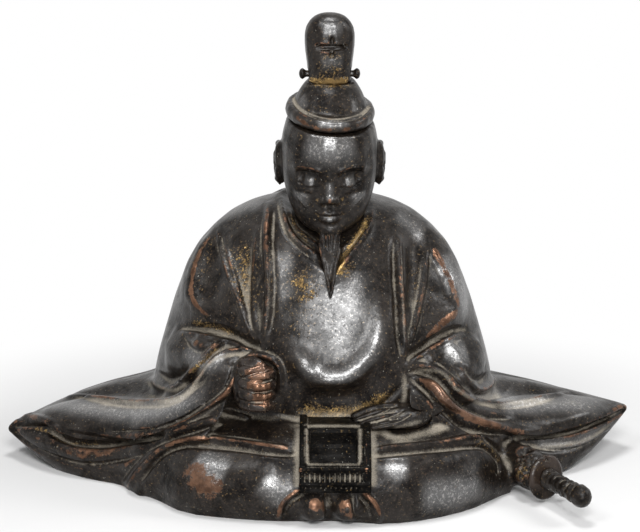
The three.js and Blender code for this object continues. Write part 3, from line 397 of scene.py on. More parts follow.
# marks are places in the photograph's frame, widths and lifts in mm; each list is pressed in one go
robeMasses = [
    # arm panels sink a little more than in the solid, between the outer arm and the chest
    brush(7, -0.9, (218, 238), (212, 262), (208, 286), (214, 304)),
    brush(5.5, -0.6, (243, 230), (246, 262), (250, 296), (255, 330)),
    brush(5, -0.8, (441, 262), (444, 284), (444, 300)),
    brush(4.5, -0.7, (412, 240), (412, 280), (409, 315)),
    # rounded outer arm edges
    brush(4, 0.7, (216, 226), (199, 254), (191, 282), (192, 299), (202, 312), (216, 319)),
    brush(4, 0.7, (432, 242), (443, 264), (452, 286), (458, 308)),
    brush(3.4, 0.9, (457, 311), (440, 324), (425, 338)),
    # belly roll and the hollow under it
    brush(5, 0.9, (290, 345), (304, 366), (326, 377), (350, 374), (372, 354), (383, 322), (384, 296)),
    brush(5, -0.6, (284, 372), (305, 388), (334, 394), (362, 388), (384, 366)),
    # bags of cloth at the elbows
    brush(6, 1.6, (196, 338), (206, 346), (222, 350)),
    brush(6, 1.8, (455, 345), (440, 354), (425, 362)),
    # long rolls of the sleeves towards the wings
    brush(7, 0.5, (222, 385), (205, 404), (180, 416), (150, 420), (110, 420), (74, 414)),
    brush(7, 0.6, (448, 378), (462, 394), (486, 412), (520, 420), (556, 414)),
    # knees
    brush(9, 0.7, (190, 462), (215, 470), (245, 472), (275, 470)),
    brush(9, 0.7, (395, 470), (430, 470), (465, 465)),
]
robeFolds = [
    # photo left arm: chest edge, third ridge, double ridge
    brush(2.2, 1.5, (270, 202), (268, 216), (267, 240), (269, 275), (269, 302), (266, 326), (262, 343)),
    crease(1.6, -1.1, (274, 210), (272, 240), (273, 275), (273, 305), (270, 330)),
    brush(1.9, 1, (257, 230), (255, 270), (254, 302), (256, 326), (260, 340)),
    brush(1.4, 1.3, (218, 231), (225, 260), (236, 294), (246, 322), (254, 338)),
    brush(1.4, 1.1, (224, 236), (232, 268), (241, 300), (249, 322)),
    crease(0.9, -1, (221, 236), (229, 266), (239, 298), (248, 324)),
    # crease under the photo left arm and the pocket below it
    crease(2.2, -2.1, (180, 328), (194, 327), (216, 329), (236, 336), (252, 345), (262, 350)),
    brush(1.8, 0.8, (182, 332), (194, 334), (212, 338), (232, 343), (250, 350)),
    crease(1.7, -1.2, (183, 336), (190, 348), (199, 352), (208, 347), (216, 342)),
    brush(1.7, 1.3, (224, 342), (212, 347), (200, 362), (186, 378), (170, 389)),
    crease(1.9, -1.5, (229, 346), (214, 353), (203, 368), (190, 384), (174, 394), (152, 397)),
    brush(2.3, 1.6, (262, 350), (242, 351), (228, 353), (214, 360), (202, 374), (190, 390), (174, 400),
          (152, 403), (128, 403), (104, 400), (84, 397), (58, 395)),
    brush(2.2, 1.3, (196, 368), (186, 381), (174, 389), (162, 387), (150, 378)),
    crease(2, -1.1, (190, 366), (180, 376), (168, 379), (156, 372)),
    # cuff at the fist
    brush(2, 1.5, (237, 364), (233, 378), (226, 391), (210, 404), (190, 418), (170, 427), (150, 432),
          (124, 434), (100, 434), form="lip"),
    brush(1.7, 1.5, (236, 386), (237, 372), (243, 362), (254, 356), (266, 357), (277, 363), (281, 376),
          (280, 392)),
    # photo left wing: upper lip, gap, inner band, lower lip
    brush(2.2, 1, (12, 424), (20, 418), (34, 417), (48, 422), (60, 430), (76, 437), (94, 441), (120, 439),
          (146, 435), taper=0.05),
    crease(1.9, -2.4, (12, 426), (26, 423), (42, 426), (54, 432), (66, 439), (80, 443), (100, 444),
           (122, 442), (146, 438), (166, 434), taper=0.05),
    brush(2.8, 1, (20, 430), (34, 436), (50, 442), (66, 450), (84, 454), (104, 453), (126, 449),
          (146, 444), taper=0.08),
    crease(1.5, -1.5, (12, 429), (24, 441), (40, 451), (60, 459), (80, 464), (100, 464), (124, 459),
           (142, 452), taper=0.05),
    # tail of the hem between the wing and the knee
    crease(1.7, -1.7, (120, 482), (130, 466), (144, 451), (160, 442), (178, 436), (200, 430), (222, 424)),
    brush(1.6, 1.3, (126, 490), (137, 474), (151, 458), (166, 447), (182, 440), (204, 438), (232, 441),
          (262, 445), (290, 449), taper=0.06),
    crease(1.5, -1.4, (140, 482), (150, 467), (162, 455), (176, 448), (195, 445), (232, 448), (270, 453),
           (297, 455), taper=0.06),
    brush(1.5, 0.8, (158, 438), (178, 430), (196, 424), (220, 418)),
    brush(1, 0.9, (224, 410), (236, 413), (251, 419)),
    # photo right arm: chest edge, fold, outer panel
    brush(1.9, 1.4, (399, 238), (399, 270), (401, 300), (403, 330), (405, 362)),
    crease(2.4, -1.7, (394, 240), (395, 270), (397, 300), (399, 330), (401, 356)),
    brush(1.6, 1.2, (426, 250), (424, 280), (420, 302), (414, 326), (409, 346)),
    brush(2.2, 0.8, (433, 250), (441, 264), (446, 276)),
    crease(2.2, -2.2, (467, 328), (450, 332), (436, 339), (422, 348), (406, 360)),
    brush(1.7, 0.9, (464, 334), (450, 337), (436, 344), (422, 353), (409, 362)),
    # photo right cuff: bright lip, dark gap, forearm roll
    brush(2.2, 1.6, (405, 368), (418, 366), (434, 369), (448, 378), (458, 390), (470, 399), (490, 405),
          (510, 405), (530, 402), (548, 397), (566, 393)),
    crease(1.9, -1.9, (408, 373), (420, 372), (434, 376), (446, 387), (456, 399), (470, 409), (490, 416),
           (512, 419)),
    brush(2.6, 1.6, (418, 379), (434, 386), (446, 400), (460, 412), (478, 421), (500, 427), (516, 431)),
    crease(1.7, -1.8, (410, 378), (426, 392), (438, 406), (452, 418), (470, 427), (492, 433), (514, 436)),
    brush(2, 1.4, (458, 366), (466, 380), (478, 389), (488, 386), (494, 374)),
    crease(2, -1.2, (464, 366), (472, 377), (481, 381), (488, 374)),
    # photo right wing: mouth, inner edge, lower band
    brush(2.3, 1, (512, 431), (534, 433), (554, 431), (576, 426), (598, 418), (614, 411), (625, 406),
          taper=0.05),
    crease(1.7, -2.3, (514, 437), (534, 437), (552, 435), (576, 430), (596, 423), (612, 416), (625, 409),
           taper=0.05),
    brush(1.3, 1.2, (518, 440), (546, 440), (568, 437), (588, 430), (608, 421), (621, 413)),
    crease(1.5, -1.3, (530, 445), (556, 450), (580, 448), (600, 438), (616, 425), (625, 413), taper=0.06),
    # lap, photo right: two edges towards the sash
    brush(1.5, 1.2, (371, 451), (395, 447), (420, 445), (445, 442), (470, 437), (485, 437), (497, 446),
          taper=0.06),
    crease(1.5, -1.3, (371, 456), (420, 451), (445, 449), (470, 447), (486, 449), (498, 462), (500, 478),
           taper=0.06),
    crease(1.9, -1.6, (452, 420), (470, 430), (488, 440), (504, 456), (512, 474)),
    # trouser hems and the feet between them
    brush(1.4, 1.2, (278, 518), (282, 503), (291, 495), (301, 489)),
    crease(1.5, -1.5, (284, 519), (288, 505), (297, 497), (305, 492)),
    brush(1.4, 1.2, (363, 492), (374, 502), (380, 514), (379, 523)),
    crease(1.4, -1.3, (358, 494), (366, 504), (371, 518)),
    crease(1.6, -1.6, (327, 492), (328, 506), (329, 519)),
    crease(1.5, -1.4, (352, 493), (355, 506), (357, 519)),
    # belly hem on the lap
    crease(1.8, -1.3, (280, 414), (300, 420), (335, 423), (362, 417), (385, 403), (401, 386)),
    # collar: outer edge and inner band on both sides
    brush(1.3, 1, (281, 196), (283, 212), (289, 230), (301, 244), (319, 257)),
    crease(1.2, -0.6, (278, 200), (280, 216), (286, 234), (299, 249), (317, 262)),
    brush(1.1, 0.7, (288, 208), (295, 226), (308, 238), (320, 248)),
    brush(1.3, 1, (373, 208), (370, 224), (361, 240), (349, 257), (339, 271), (332, 286)),
    brush(1.1, 0.7, (368, 212), (361, 229), (349, 243), (340, 252)),
]
# the back's seam, yoke and falling folds are in the solid; here their edges are drawn sharper
backFolds = [
    crease(1.6, -0.6, (1, 86), (1, 60), (0.5, 30), (0, 3)),
    brush(1.5, 0.6, (-28, 80), (-14, 72), (1, 69.5), (17, 72), (31, 80)),
    crease(1.4, -0.7, (-27, 77), (-14, 69), (1, 66.5), (17, 69), (30, 77)),
    # collar band at the nape
    brush(2.2, 1.1, (-17, 87), (-9, 90), (1.4, 91), (12, 90), (20, 87)),
    crease(1.7, -0.9, (-19, 83.5), (-10, 86.5), (1.4, 87.5), (13, 86.5), (22, 83.5)),
]
# each of these runs on both sides of the back's middle
backMiddle = 1.4
backPleats = [
    brush(2.6, 0.8, (10, 60), (12.5, 42), (17.5, 20), (21, 3)),
    crease(1.6, -0.8, (14, 63), (17.5, 44), (24, 20), (28, 3)),
    brush(2.2, 0.6, (20, 64), (23, 44), (31, 20), (36, 3)),
    brush(3, 0.8, (26, 68), (30, 46), (38, 20), (43, 3)),
    crease(2.4, -1.1, (36, 76), (44, 58), (48, 40), (47, 20), (48, 4)),
    brush(4, 1.2, (47, 30), (58, 23), (72, 19), (89, 14)),
    crease(3.2, -1.2, (49, 20), (60, 15), (74, 12), (92, 10)),
]
for side in (-1, 1):
    for pleat in backPleats:
        backFolds.append({**pleat, "marks": [(backMiddle + side * x, z) for x, z in pleat["marks"]]})
carve(robeSkin, robeMasses, photoRay)
relax(robeSkin, 3)
carve(robeSkin, robeFolds, photoRay)
carve(robeSkin, backFolds, backRay, step=0.5)
relax(robeSkin, 1)
print("robe carved")

# crusty metal where the sword is brazed on, and a hollow beside it; pitch is the lumps' spacing in mm
crust = {"pitch": 1.6, "around": brush(7, 0.9, (519, 476), (527, 484), (534, 470), (516, 462), taper=0.01)}
guardCrust = {"pitch": 1.3, "around": brush(4, 0.5, (545, 462), (552, 452), (562, 460), taper=0.01)}


def roughen(piece, lumps):
    mesh = piece.data
    spots, normals, tree = readPoints(mesh), readNormals(mesh), treeOf(mesh)
    chosen, shares = strokeShares(spots, normals, tree, lumps["around"], photoRay, 1.5)
    bumps = np.array([noise.fractal(Vector(spots[i] / lumps["pitch"]), 0.9, 2.1, 3) for i in chosen])
    move = np.clip(bumps, -1, 1) * shares * lumps["around"]["lift"]
    spots[chosen] += normals[chosen] * move[:, None]
    writePoints(mesh, spots)


carve(robeSkin, [brush(3.4, -3, (525, 450)), brush(5, 1.2, (516, 470), (524, 482))], photoRay)
roughen(robeSkin, crust)

robeRub = [
    brush(1.5, 0.95, (216, 228), (199, 254), (192, 280), (193, 298), (203, 312), (216, 319)),
    brush(2.3, 1, (428, 240), (443, 264), (452, 286), (458, 309), (440, 324), (426, 338)),
    brush(2, 0.5, (234, 376), (226, 391), (210, 404), (190, 418), (170, 427), (124, 434)),
    brush(3.2, 0.95, (420, 380), (434, 388), (446, 400), (460, 412), (478, 420), (500, 427)),
    brush(12, 0.84, (190, 458), (192, 472), (206, 486), (224, 496)),
    brush(8, 0.36, (250, 462), (262, 474), (285, 482)),
    brush(6, 0.36, (230, 508), (280, 512)),
    brush(9, 0.52, (400, 466), (430, 474), (470, 484)),
    brush(6, 0.42, (480, 460), (494, 474)),
    brush(3.5, 0.8, (315, 503)),
    brush(2.4, 0.7, (342, 503)),
    brush(1.6, 0.9, (279, 516), (283, 502), (292, 494), (301, 488)),
    brush(1.6, 0.9, (364, 493), (375, 503), (380, 516)),
    brush(1.4, 0.6, (170, 445), (204, 438), (262, 445), (290, 449)),
    brush(12, 0.28, (322, 300), (352, 318)),
]
robeUnworn = [
    brush(7, -1, (286, 340), (304, 366), (326, 377), (350, 374), (372, 354), (383, 322), (384, 296),
          taper=0.02),
    brush(7, -1, (330, 385), (352, 384), taper=0.02),
    brush(4, -1, (330, 274), (330, 296), taper=0.02),
]
robeDustAndHighlight = [
    brush(4, 0.85, (284, 426), (335, 425), (378, 420)),
    brush(1.6, 0.45, (185, 436), (240, 438), (297, 450)),
    brush(3.2, 0.95, (299, 428), (298, 488), taper=0.05),
    brush(3.2, 0.95, (372, 428), (372, 488), taper=0.05),
    brush(3.6, 0.85, (376, 424), (395, 438), (425, 433), (452, 426)),
    # pale dust on the two wing tops is partly painted highlight, lightening them where they should shine
    brush(6, 0.42, (60, 402), (110, 408), (160, 406), (200, 396)),
    brush(5, 0.45, (484, 396), (530, 402), (590, 402)),
    brush(2.2, 0.7, (404, 372), (404, 400), (392, 418)),
    brush(1.4, 0.8, (150, 402), (174, 400), (190, 390), (214, 360), (258, 351)),
    brush(1.5, 0.8, (145, 380), (162, 388), (176, 390), (190, 380)),
    brush(1.4, 0.6, (60, 395), (104, 400), (150, 403)),
    brush(1.4, 0.7, (405, 369), (440, 372), (458, 390), (490, 405), (548, 398)),
    brush(1.9, 0.75, (530, 446), (560, 446), (590, 438), (616, 420)),
    brush(0.9, 0.6, (402, 250), (403, 300), (405, 350)),
    brush(0.9, 0.5, (269, 230), (269, 300), (264, 340)),
    brush(3.1, 0.15, (245, 260), (250, 320), (258, 345)),
    brush(1.6, 0.6, (280, 200), (284, 225), (300, 246)),
    brush(5, 0.6, (288, 414), (330, 416), (374, 408)),
]
robeGold = [
    brush(2.8, 0.78, (369, 214), (360, 234), (346, 254), (336, 276), taper=0.08),
    brush(4.5, 0.5, (352, 262), (344, 280)),
    brush(2.2, 0.45, (290, 212), (298, 232), (312, 244)),
    brush(5.5, 0.68, (288, 408), (330, 414), (368, 408), (396, 384)),
    brush(10, 0.52, (236, 240), (244, 268), (250, 312)),
    brush(12, 0.3, (270, 250), (300, 300), (290, 340)),
    brush(3, 0.6, (186, 322), (214, 326), (240, 338)),
    brush(6, 0.4, (430, 218), (448, 246)),
    brush(6, 0.3, (204, 240), (206, 280)),
    brush(8, 0.3, (300, 270), (316, 300)),
    brush(4, 0.35, (412, 260), (420, 320)),
    brush(2, 0.7, (186, 376), (204, 360), (222, 345)),
    brush(1.6, 0.55, (20, 427), (48, 431), (66, 443), (110, 444)),
    brush(3.5, 0.5, (470, 440), (490, 446), (500, 466)),
    brush(6, 0.5, (516, 468), (528, 480)),
]
# polish where the robe is handled, and also painted sheen: raised reflection placed where highlights are
# wanted
robePolishAndSheen = [
    brush(15, 0.42, (338, 250), (340, 290), (340, 330), (338, 362), taper=0.3),
    brush(4.5, 0.6, (300, 352), (314, 370), (345, 376), (372, 352), (382, 318)),
    brush(5, 0.5, (284, 250), (284, 300)),
    brush(6, 0.5, (226, 212), (262, 204)),
    brush(6, 0.6, (395, 214), (425, 234)),
    brush(8, 1, (440, 256), (460, 286), (466, 316)),
    brush(8, 0.9, (444, 346), (468, 352)),
    brush(6, 0.25, (226, 246), (238, 290)),
    brush(7, 1, (46, 402), (90, 408), (130, 412), (170, 408), (206, 392)),
    brush(8, 1, (476, 392), (520, 402), (560, 404), (600, 402)),
    brush(4, 0.6, (530, 444), (570, 444), (600, 432)),
    brush(9, 1, (196, 456), (210, 468), (226, 476)),
    brush(7, 0.85, (262, 480), (288, 502)),
    brush(9, 1, (420, 496), (455, 492), (484, 478)),
    brush(6, 0.6, (384, 466), (410, 468)),
    brush(5, 0.8, (184, 350), (204, 364), (226, 360)),
    brush(3, 0.8, (430, 384), (450, 402), (480, 420)),
]
keepInBox(robeSkin)
weather(robeSkin, robe, rub=robeUnworn + robeRub, dust=robeDustAndHighlight, gold=robeGold, polish=robePolishAndSheen)
print("robe masks painted")


# the skin is parted by flat cuts inside the metal, each part closed over its cut
def cutOff(source, name, planes):
    part = source.copy()
    part.data = source.data.copy()
    part.name = name
    part.data.name = name
    bpy.context.scene.collection.objects.link(part)
    activate(part)
    bpy.ops.object.mode_set(mode="EDIT")
    for place, outward in planes:
        bpy.ops.mesh.select_all(action="SELECT")
        bpy.ops.mesh.bisect(plane_co=Vector(place) * mm, plane_no=outward, use_fill=True, clear_outer=True)
    bpy.ops.mesh.select_all(action="SELECT")
    bpy.ops.mesh.quads_convert_to_tris()
    bpy.ops.object.mode_set(mode="OBJECT")
    bpy.ops.object.shade_smooth_by_angle(angle=math.radians(robe["sharpAngle"]))
    print("  ", name, len(part.data.polygons), "triangles")
    return part


rightCut, leftCut = (robe["cutRight"], 0, 0), (robe["cutLeft"], 0, 0)
waist, behindLap = (0, 0, robe["cutWaist"]), (0, robe["cutLap"], 0)
between = [(rightCut, (-1, 0, 0)), (leftCut, (1, 0, 0))]
rightSleeve = cutOff(robeSkin, "right_sleeve_bronze", [(rightCut, (1, 0, 0))])
leftSleeve = cutOff(robeSkin, "left_sleeve_bronze", [(leftCut, (-1, 0, 0))])
chest = cutOff(robeSkin, "chest_bronze", between + [(waist, (0, 0, -1))])
skirt = cutOff(robeSkin, "skirt_bronze", between + [(waist, (0, 0, 1)), (behindLap, (0, -1, 0))])
lap = cutOff(robeSkin, "lap_bronze", between + [(waist, (0, 0, 1)), (behindLap, (0, 1, 0))])
robeParts = [rightSleeve, leftSleeve, chest, skirt, lap]
bpy.data.objects.remove(robeSkin)
print("robe parted")

# head: brows, lids, nose and mouth are drawn on the face in the head's own frame, in mm
headSkin = {"voxel": 0.36, "soften": 16, "fine": 5, "coarse": 30, "ridgeAt": 0.16, "creaseAt": 0.12,
            "beardBelow": -24, "beardBefore": -8, "beardWeight": 0.35, "wiped": 0.45}


# a stroke that starts to the side of the face's middle is drawn on the other side too
def mirrored(strokes):
    both = []
    for stroke in strokes:
        both.append(stroke)
        if stroke["marks"][0][0] > 0.4:
            both.append({**stroke, "marks": [(-x, z) for x, z in stroke["marks"]]})
    return both


def headWeight(spots):
    local = (np.c_[spots, np.ones(len(spots))] @ np.array(headMatrix.inverted()).T)[:, :3]
    beard = (local[:, 2] < headSkin["beardBelow"]) & (local[:, 1] < headSkin["beardBefore"])
    return np.where(beard, headSkin["beardWeight"], 1.0)


head = skinOver("head_bronze", ["head_casting"], headSkin, headWeight)
faceMasses = mirrored([
    # sockets, brow ridge, cheeks
    brush(4.4, -1.9, (3.8, -4.2), (6.6, -3.8), (9.8, -4.6)),
    brush(4.4, 1.7, (6.7, -4.9)),
    brush(2.8, 0.7, (2.0, -1.4), (6.2, -0.1), (11.0, -1.8)),
    brush(4.6, 0.6, (7.4, -9.6), (9.4, -12.5)),
    # nose: bridge, tip and wings
    brush(2.3, 1.2, (0, -0.5), (0, -4.0), (0, -7.5), (0, -10.2), taper=0.35),
    brush(2.2, 1.3, (0, -9.0), (0, -10.9), taper=0.02),
    brush(1.6, 0.9, (2.2, -10.6)),
    # mouth's fullness and chin
    brush(2.8, 0.8, (-3.6, -15.8), (0, -15.7), (3.6, -15.8)),
    brush(4.2, 0.9, (0, -21.0)),
])
faceDetails = mirrored([
    # lowered upper lid: its fold above the eyeball and its edge below
    brush(0.7, -0.3, (3.2, -3.2), (4.8, -2.2), (6.8, -1.9), (9.0, -2.4), (10.6, -3.6)),
    crease(0.6, -0.8, (2.8, -5.9), (4.4, -6.7), (6.6, -7.0), (8.8, -6.6), (10.6, -5.7)),
    brush(0.6, 0.25, (2.9, -5.4), (4.5, -6.1), (6.6, -6.4), (8.7, -6.0), (10.3, -5.2)),
    brush(0.9, 0.3, (3.4, -7.5), (6.5, -8.1), (9.6, -7.3)),
    brush(1.2, -0.25, (3.6, -9.0), (6.4, -9.8), (9.0, -9.0)),
    # brow
    brush(0.8, 0.3, (1.8, -1.3), (3.8, -0.1), (6.8, 0.5), (10.0, -0.3), (12.4, -2.2)),
    # wings of the nose and nostrils
    crease(0.7, -0.6, (2.9, -8.9), (3.7, -10.2), (3.5, -11.6)),
    brush(0.8, -0.3, (1.9, -8.4), (1.7, -9.6)),
    brush(0.8, -0.7, (1.1, -12.2)),
    crease(0.7, -0.4, (-2.4, -12.4), (0, -12.0), (2.4, -12.4)),
    # mouth
    brush(0.8, -0.35, (0, -13.0), (0, -14.2)),
    brush(1.2, -0.25, (4.8, -11.2), (5.6, -12.8), (5.8, -14.6)),
    brush(0.9, 0.45, (-4.0, -15.4), (-1.5, -14.6), (0, -14.9), (1.5, -14.6), (4.0, -15.4)),
    crease(0.6, -0.8, (-4.8, -15.7), (-2.2, -15.7), (0, -16.0), (2.2, -15.7), (4.8, -15.7)),
    brush(1.1, 0.55, (-3.0, -17.0), (0, -17.4), (3.0, -17.0)),
    brush(1.2, -0.5, (-2.6, -19.0), (0, -19.3), (2.6, -19.0)),
    brush(0.5, 0.18, (0.5, -13.5), (2.6, -13.9), (5.2, -15.2)),
])
# goatee: fuller at its root, in fine strands that run on over the chest, drawn in the photograph's frame
beardRoot = [brush(2, 0.9, (318, 240), (323, 254), (327, 268), taper=0.4),
             brush(2, 0.9, (343, 240), (338, 254), (333, 268), taper=0.4)]
beardStrands = [crease(0.75, -0.8, (319 + 4.2 * i, 233), (323.5 + 2.2 * i, 260),
                       (329 + 0.5 * (i - 2.5), 292), taper=0.04) for i in range(6)]
earMarks = [
    brush(0.9, 0.5, (3.2, 1.2), (4.6, -2.2), (3.4, -6.4), (1.2, -10.0)),
    crease(1, -0.8, (2.2, 0.4), (3.2, -3.0), (2.2, -6.8), (0.4, -9.0)),
    brush(1.1, 0.5, (0.6, -1.4), (1.2, -4.2), (0.2, -6.6)),
    brush(1.5, -0.9, (-0.8, -5.6)),
    brush(1.4, 0.4, (0.4, -11.0)),
]
# ears: rounded above and at the lobe, thinner outwards
earShape = {"root": 15.3, "rim": 0.6, "round": 0.8}


def roundEars(piece):
    spots = readPoints(piece.data)
    turned, shift = np.array(headMatrix.to_3x3()), np.array(headMatrix.translation)
    local = (spots - shift) @ turned
    outer = np.abs(local[:, 0]) > earShape["root"] + earShape["rim"]
    top, foot = local[outer, 2].max(), local[outer, 2].min()
    share = np.clip(2 * (local[:, 2] - foot) / (top - foot) - 1, -1, 1)
    beyond = np.clip(np.abs(local[:, 0]) - earShape["root"], 0, None)
    kept = np.sqrt(np.clip(1 - earShape["round"] * share ** 4, 0.05, 1))
    local[:, 0] -= np.sign(local[:, 0]) * beyond * (1 - kept)
    writePoints(piece.data, local @ turned.T + shift)


# the goatee's tip is drawn out over the collar on to the chest
goatee = {"from": 248, "to": 272, "bend": 1.4, "behind": -8.0, "fade": 2, "shift": (0, -3.6, -1.2)}


def drawOutGoatee(piece):
    spots = readPoints(piece.data)
    local = (spots - np.array(headMatrix.translation)) @ np.array(headMatrix.to_3x3())
    _, v = projected(spots)
    share = np.clip((v - goatee["from"]) / (goatee["to"] - goatee["from"]), 0, 1) ** goatee["bend"]
    share *= np.clip((goatee["behind"] - local[:, 1]) / goatee["fade"], 0, 1)
    writePoints(piece.data, spots + share[:, None] * np.array(goatee["shift"]))


drawOutGoatee(head)
roundEars(head)
carve(head, faceMasses, faceRay, step=0.35)
carve(head, beardRoot, photoRay, step=0.8)
relax(head, 5)
carve(head, faceDetails, faceRay, step=0.3)
carve(head, beardStrands, photoRay, step=0.8)
for side in (1, -1):
    carve(head, earMarks, sideRay(side), step=0.4)
relax(head, 1, pull=0.4)
headMasks = maskPoints(head, headSkin)
headMasks["dust"] *= headSkin["wiped"]  # the face is cleaner than the robe
paint(head, headMasks, faceRay, step=0.4, rub=mirrored([
    brush(1.6, 0.35, (0, -7), (0, -10.5)),
    brush(1.2, 0.4, (2.6, -0.6), (6.6, 0.3), (11.0, -1.2)),
    brush(2.2, 0.22, (6.4, -5.6)),
    brush(2.4, 0.4, (-2, -21.5), (3, -22)),
]), gold=mirrored([
    brush(1.1, 0.5, (4.6, -9.0), (3.0, -11.8), (1.0, -12.6)),
    brush(0.8, 0.5, (3.0, -15.9), (5.0, -15.8)),
    brush(1.2, 0.4, (7.0, 9.6), (11.0, 9.2)),
]))
paint(head, headMasks, photoRay, rub=[brush(3, 0.45, (322, 232), (328, 262), (329, 286))])
# polish on the face is also painted sheen: raised reflection on forehead, nose, cheeks and lip where
# highlights are wanted
paint(head, headMasks, faceRay, step=0.5, polish=mirrored([
    brush(9, 0.9, (-8, 8), (0, 7), (8, 8)),
    brush(2.2, 0.7, (0, -4), (0, -10)),
    brush(2.6, 0.6, (6.5, -4.8)),
    brush(4.5, 0.7, (9.0, -9.0), (9.6, -13.0)),
    brush(2.2, 0.5, (-1, -17.2), (1, -17.2)),
]))
keepMasks(head, headMasks)
print("head finished,", len(head.data.polygons), "faces")

# cap, crest and hairpin
cap = {"voxel": 0.36, "soften": 14, "fine": 6, "coarse": 30, "ridgeAt": 0.08, "creaseAt": 0.06}
capBronze = skinOver("cap_bronze", ["court_cap"], cap)
carve(capBronze, [
    crease(1.3, -0.7, (291, 95), (297, 106), (310, 115), (331, 121), (356, 118), (370, 107), (374, 98),
           taper=0.05),
    brush(2, 0.4, (288, 108), (300, 120), (318, 128), (334, 130), (354, 127), (372, 115)),
    brush(5, -0.5, (310, 103), (330, 107), (352, 103)),
], photoRay)
weather(capBronze, cap, rub=[
    brush(2.2, 0.3, (292, 112), (308, 124), (334, 129), (360, 123)),
], dust=[
    brush(1, 0.8, (293, 96), (302, 110), (330, 119), (358, 115), (371, 104), taper=0.05),
    brush(2, 0.5, (300, 92), (306, 86), (352, 86), (360, 94)),
], gold=[
    brush(2.4, 0.6, (310, 84), (331, 86), (350, 84), taper=0.05),
    brush(3, 0.25, (306, 108), (330, 112)),
# polish here is also painted sheen, a raised reflection where highlights are wanted
], polish=[
    brush(3, 0.5, (300, 98), (306, 108)),
    brush(2, 0.8, (318, 124), (350, 124)),
])

crest = {"voxel": 0.34, "soften": 9, "fine": 5, "coarse": 24, "ridgeAt": 0.08, "creaseAt": 0.06}
crestBronze = skinOver("crest_bronze", ["cap_crest"], crest)
carve(crestBronze, [
    crease(1.1, -1.8, (316, 46), (331, 47.5), (348, 47), taper=0.05),
    crease(1, -1.2, (332, 37), (332, 45), taper=0.3),
    crease(1.1, -1.6, (332, 50), (332, 59), taper=0.3),
    brush(1.2, 0.35, (316, 43), (331, 44), (347, 43)),
    brush(1.4, 0.4, (316, 51), (331, 52), (347, 51)),
], photoRay, step=0.8)
weather(crestBronze, crest, gold=[
    brush(3.2, 0.8, (309, 80), (331, 83), (353, 80), taper=0.05),
    brush(5, 0.45, (316, 66), (331, 70), (346, 66)),
    brush(2.4, 0.45, (320, 56), (343, 56)),
], rub=[
    brush(2.6, 0.4, (312, 30), (322, 20), (345, 20), (352, 32)),
# polish here is also painted sheen, a raised reflection where highlights are wanted
], polish=[
    brush(5, 0.55, (320, 30), (332, 26), (344, 30)),
    brush(4, 0.5, (320, 62), (344, 62)),
])

hairpin = {"voxel": 0.25, "soften": 5, "fine": 4, "coarse": 16, "ridgeAt": 0.08, "creaseAt": 0.08}
hairpinBronze = skinOver("hairpin_bronze", ["cap_hairpin"], hairpin)
weather(hairpinBronze, hairpin)
print("cap, crest and hairpin finished")

# hands: grooves between the fingers, knuckles and nails
fist = {"voxel": 0.28, "soften": 7, "fine": 5, "coarse": 24, "ridgeAt": 0.08, "creaseAt": 0.07}
fistBronze = skinOver("fist_bronze", ["right_hand"], fist)
carve(fistBronze, [
    crease(0.9, -0.8, (243, 378), (256, 373), (270, 369)),
    crease(0.8, -0.7, (252, 384), (264, 382), (277, 378)),
    crease(0.8, -0.7, (250, 393), (264, 392), (278, 388)),
    crease(0.8, -0.7, (250, 402), (264, 402), (277, 398)),
    brush(2, 0.5, (256, 378), (258, 400)),
    brush(1.4, 0.3, (268, 374), (271, 400)),
    brush(1.6, 0.5, (244, 372), (256, 368), (267, 366)),
], photoRay, step=0.8)
relax(fistBronze, 2, pull=0.4)
weather(fistBronze, fist, rub=[
    brush(4, 0.95, (244, 374), (262, 368), (275, 370)),
    brush(6.5, 0.9, (254, 376), (262, 392), (262, 408)),
# polish on the knuckles is also painted sheen, a raised reflection where a highlight is wanted
], polish=[
    brush(5, 1, (250, 376), (262, 370), (272, 372)),
])

palm = {**fist, "creaseAt": 0.05}
palmBronze = skinOver("palm_bronze", ["left_hand"], palm)
carve(palmBronze, [
    crease(0.8, -0.7, (354, 421), (366, 418), (380, 413), (392, 407)),
    crease(0.8, -0.7, (361, 424), (376, 421), (391, 416), (404, 410)),
    crease(0.8, -0.7, (367, 428), (382, 425), (398, 421), (411, 415)),
    crease(0.6, -0.25, (371, 417), (379, 424)),
    crease(0.6, -0.25, (383, 413), (392, 421)),
], photoRay, step=0.8)
relax(palmBronze, 1, pull=0.4)
weather(palmBronze, palm, dust=[
    brush(1.2, 0.6, (356, 421), (380, 415), (402, 408)),
    brush(1.2, 0.6, (362, 425), (390, 418), (410, 412)),
    brush(1.6, 0.6, (366, 431), (396, 428), (424, 420)),
])
print("hands finished")

# sash: framed square over a fringe; edges are places in the photograph's frame, lifts in mm
sash = {"voxel": 0.26, "soften": 3, "fine": 4, "coarse": 20, "ridgeAt": 0.08, "creaseAt": 0.05,
        "bareSquare": (310, 430, 357, 462), "strands": 12, "firstStrand": 304.6, "pitch": 5.05}
sashBronze = skinOver("sash_bronze", ["sash_panel"], sash)


# how far each point lies inside a square, faded at its edges and where the metal turns away
def squareShare(piece, left, top, right, bottom, soft=1.2):
    u, v = projected(readPoints(piece.data))
    share = np.ones(len(u))
    for gap in (u - left, right - u, v - top, bottom - v):
        share *= np.clip(gap / soft + 0.5, 0, 1)
    return share * np.clip(-(readNormals(piece.data) @ np.array(viewAhead)) * 4, 0, 1)


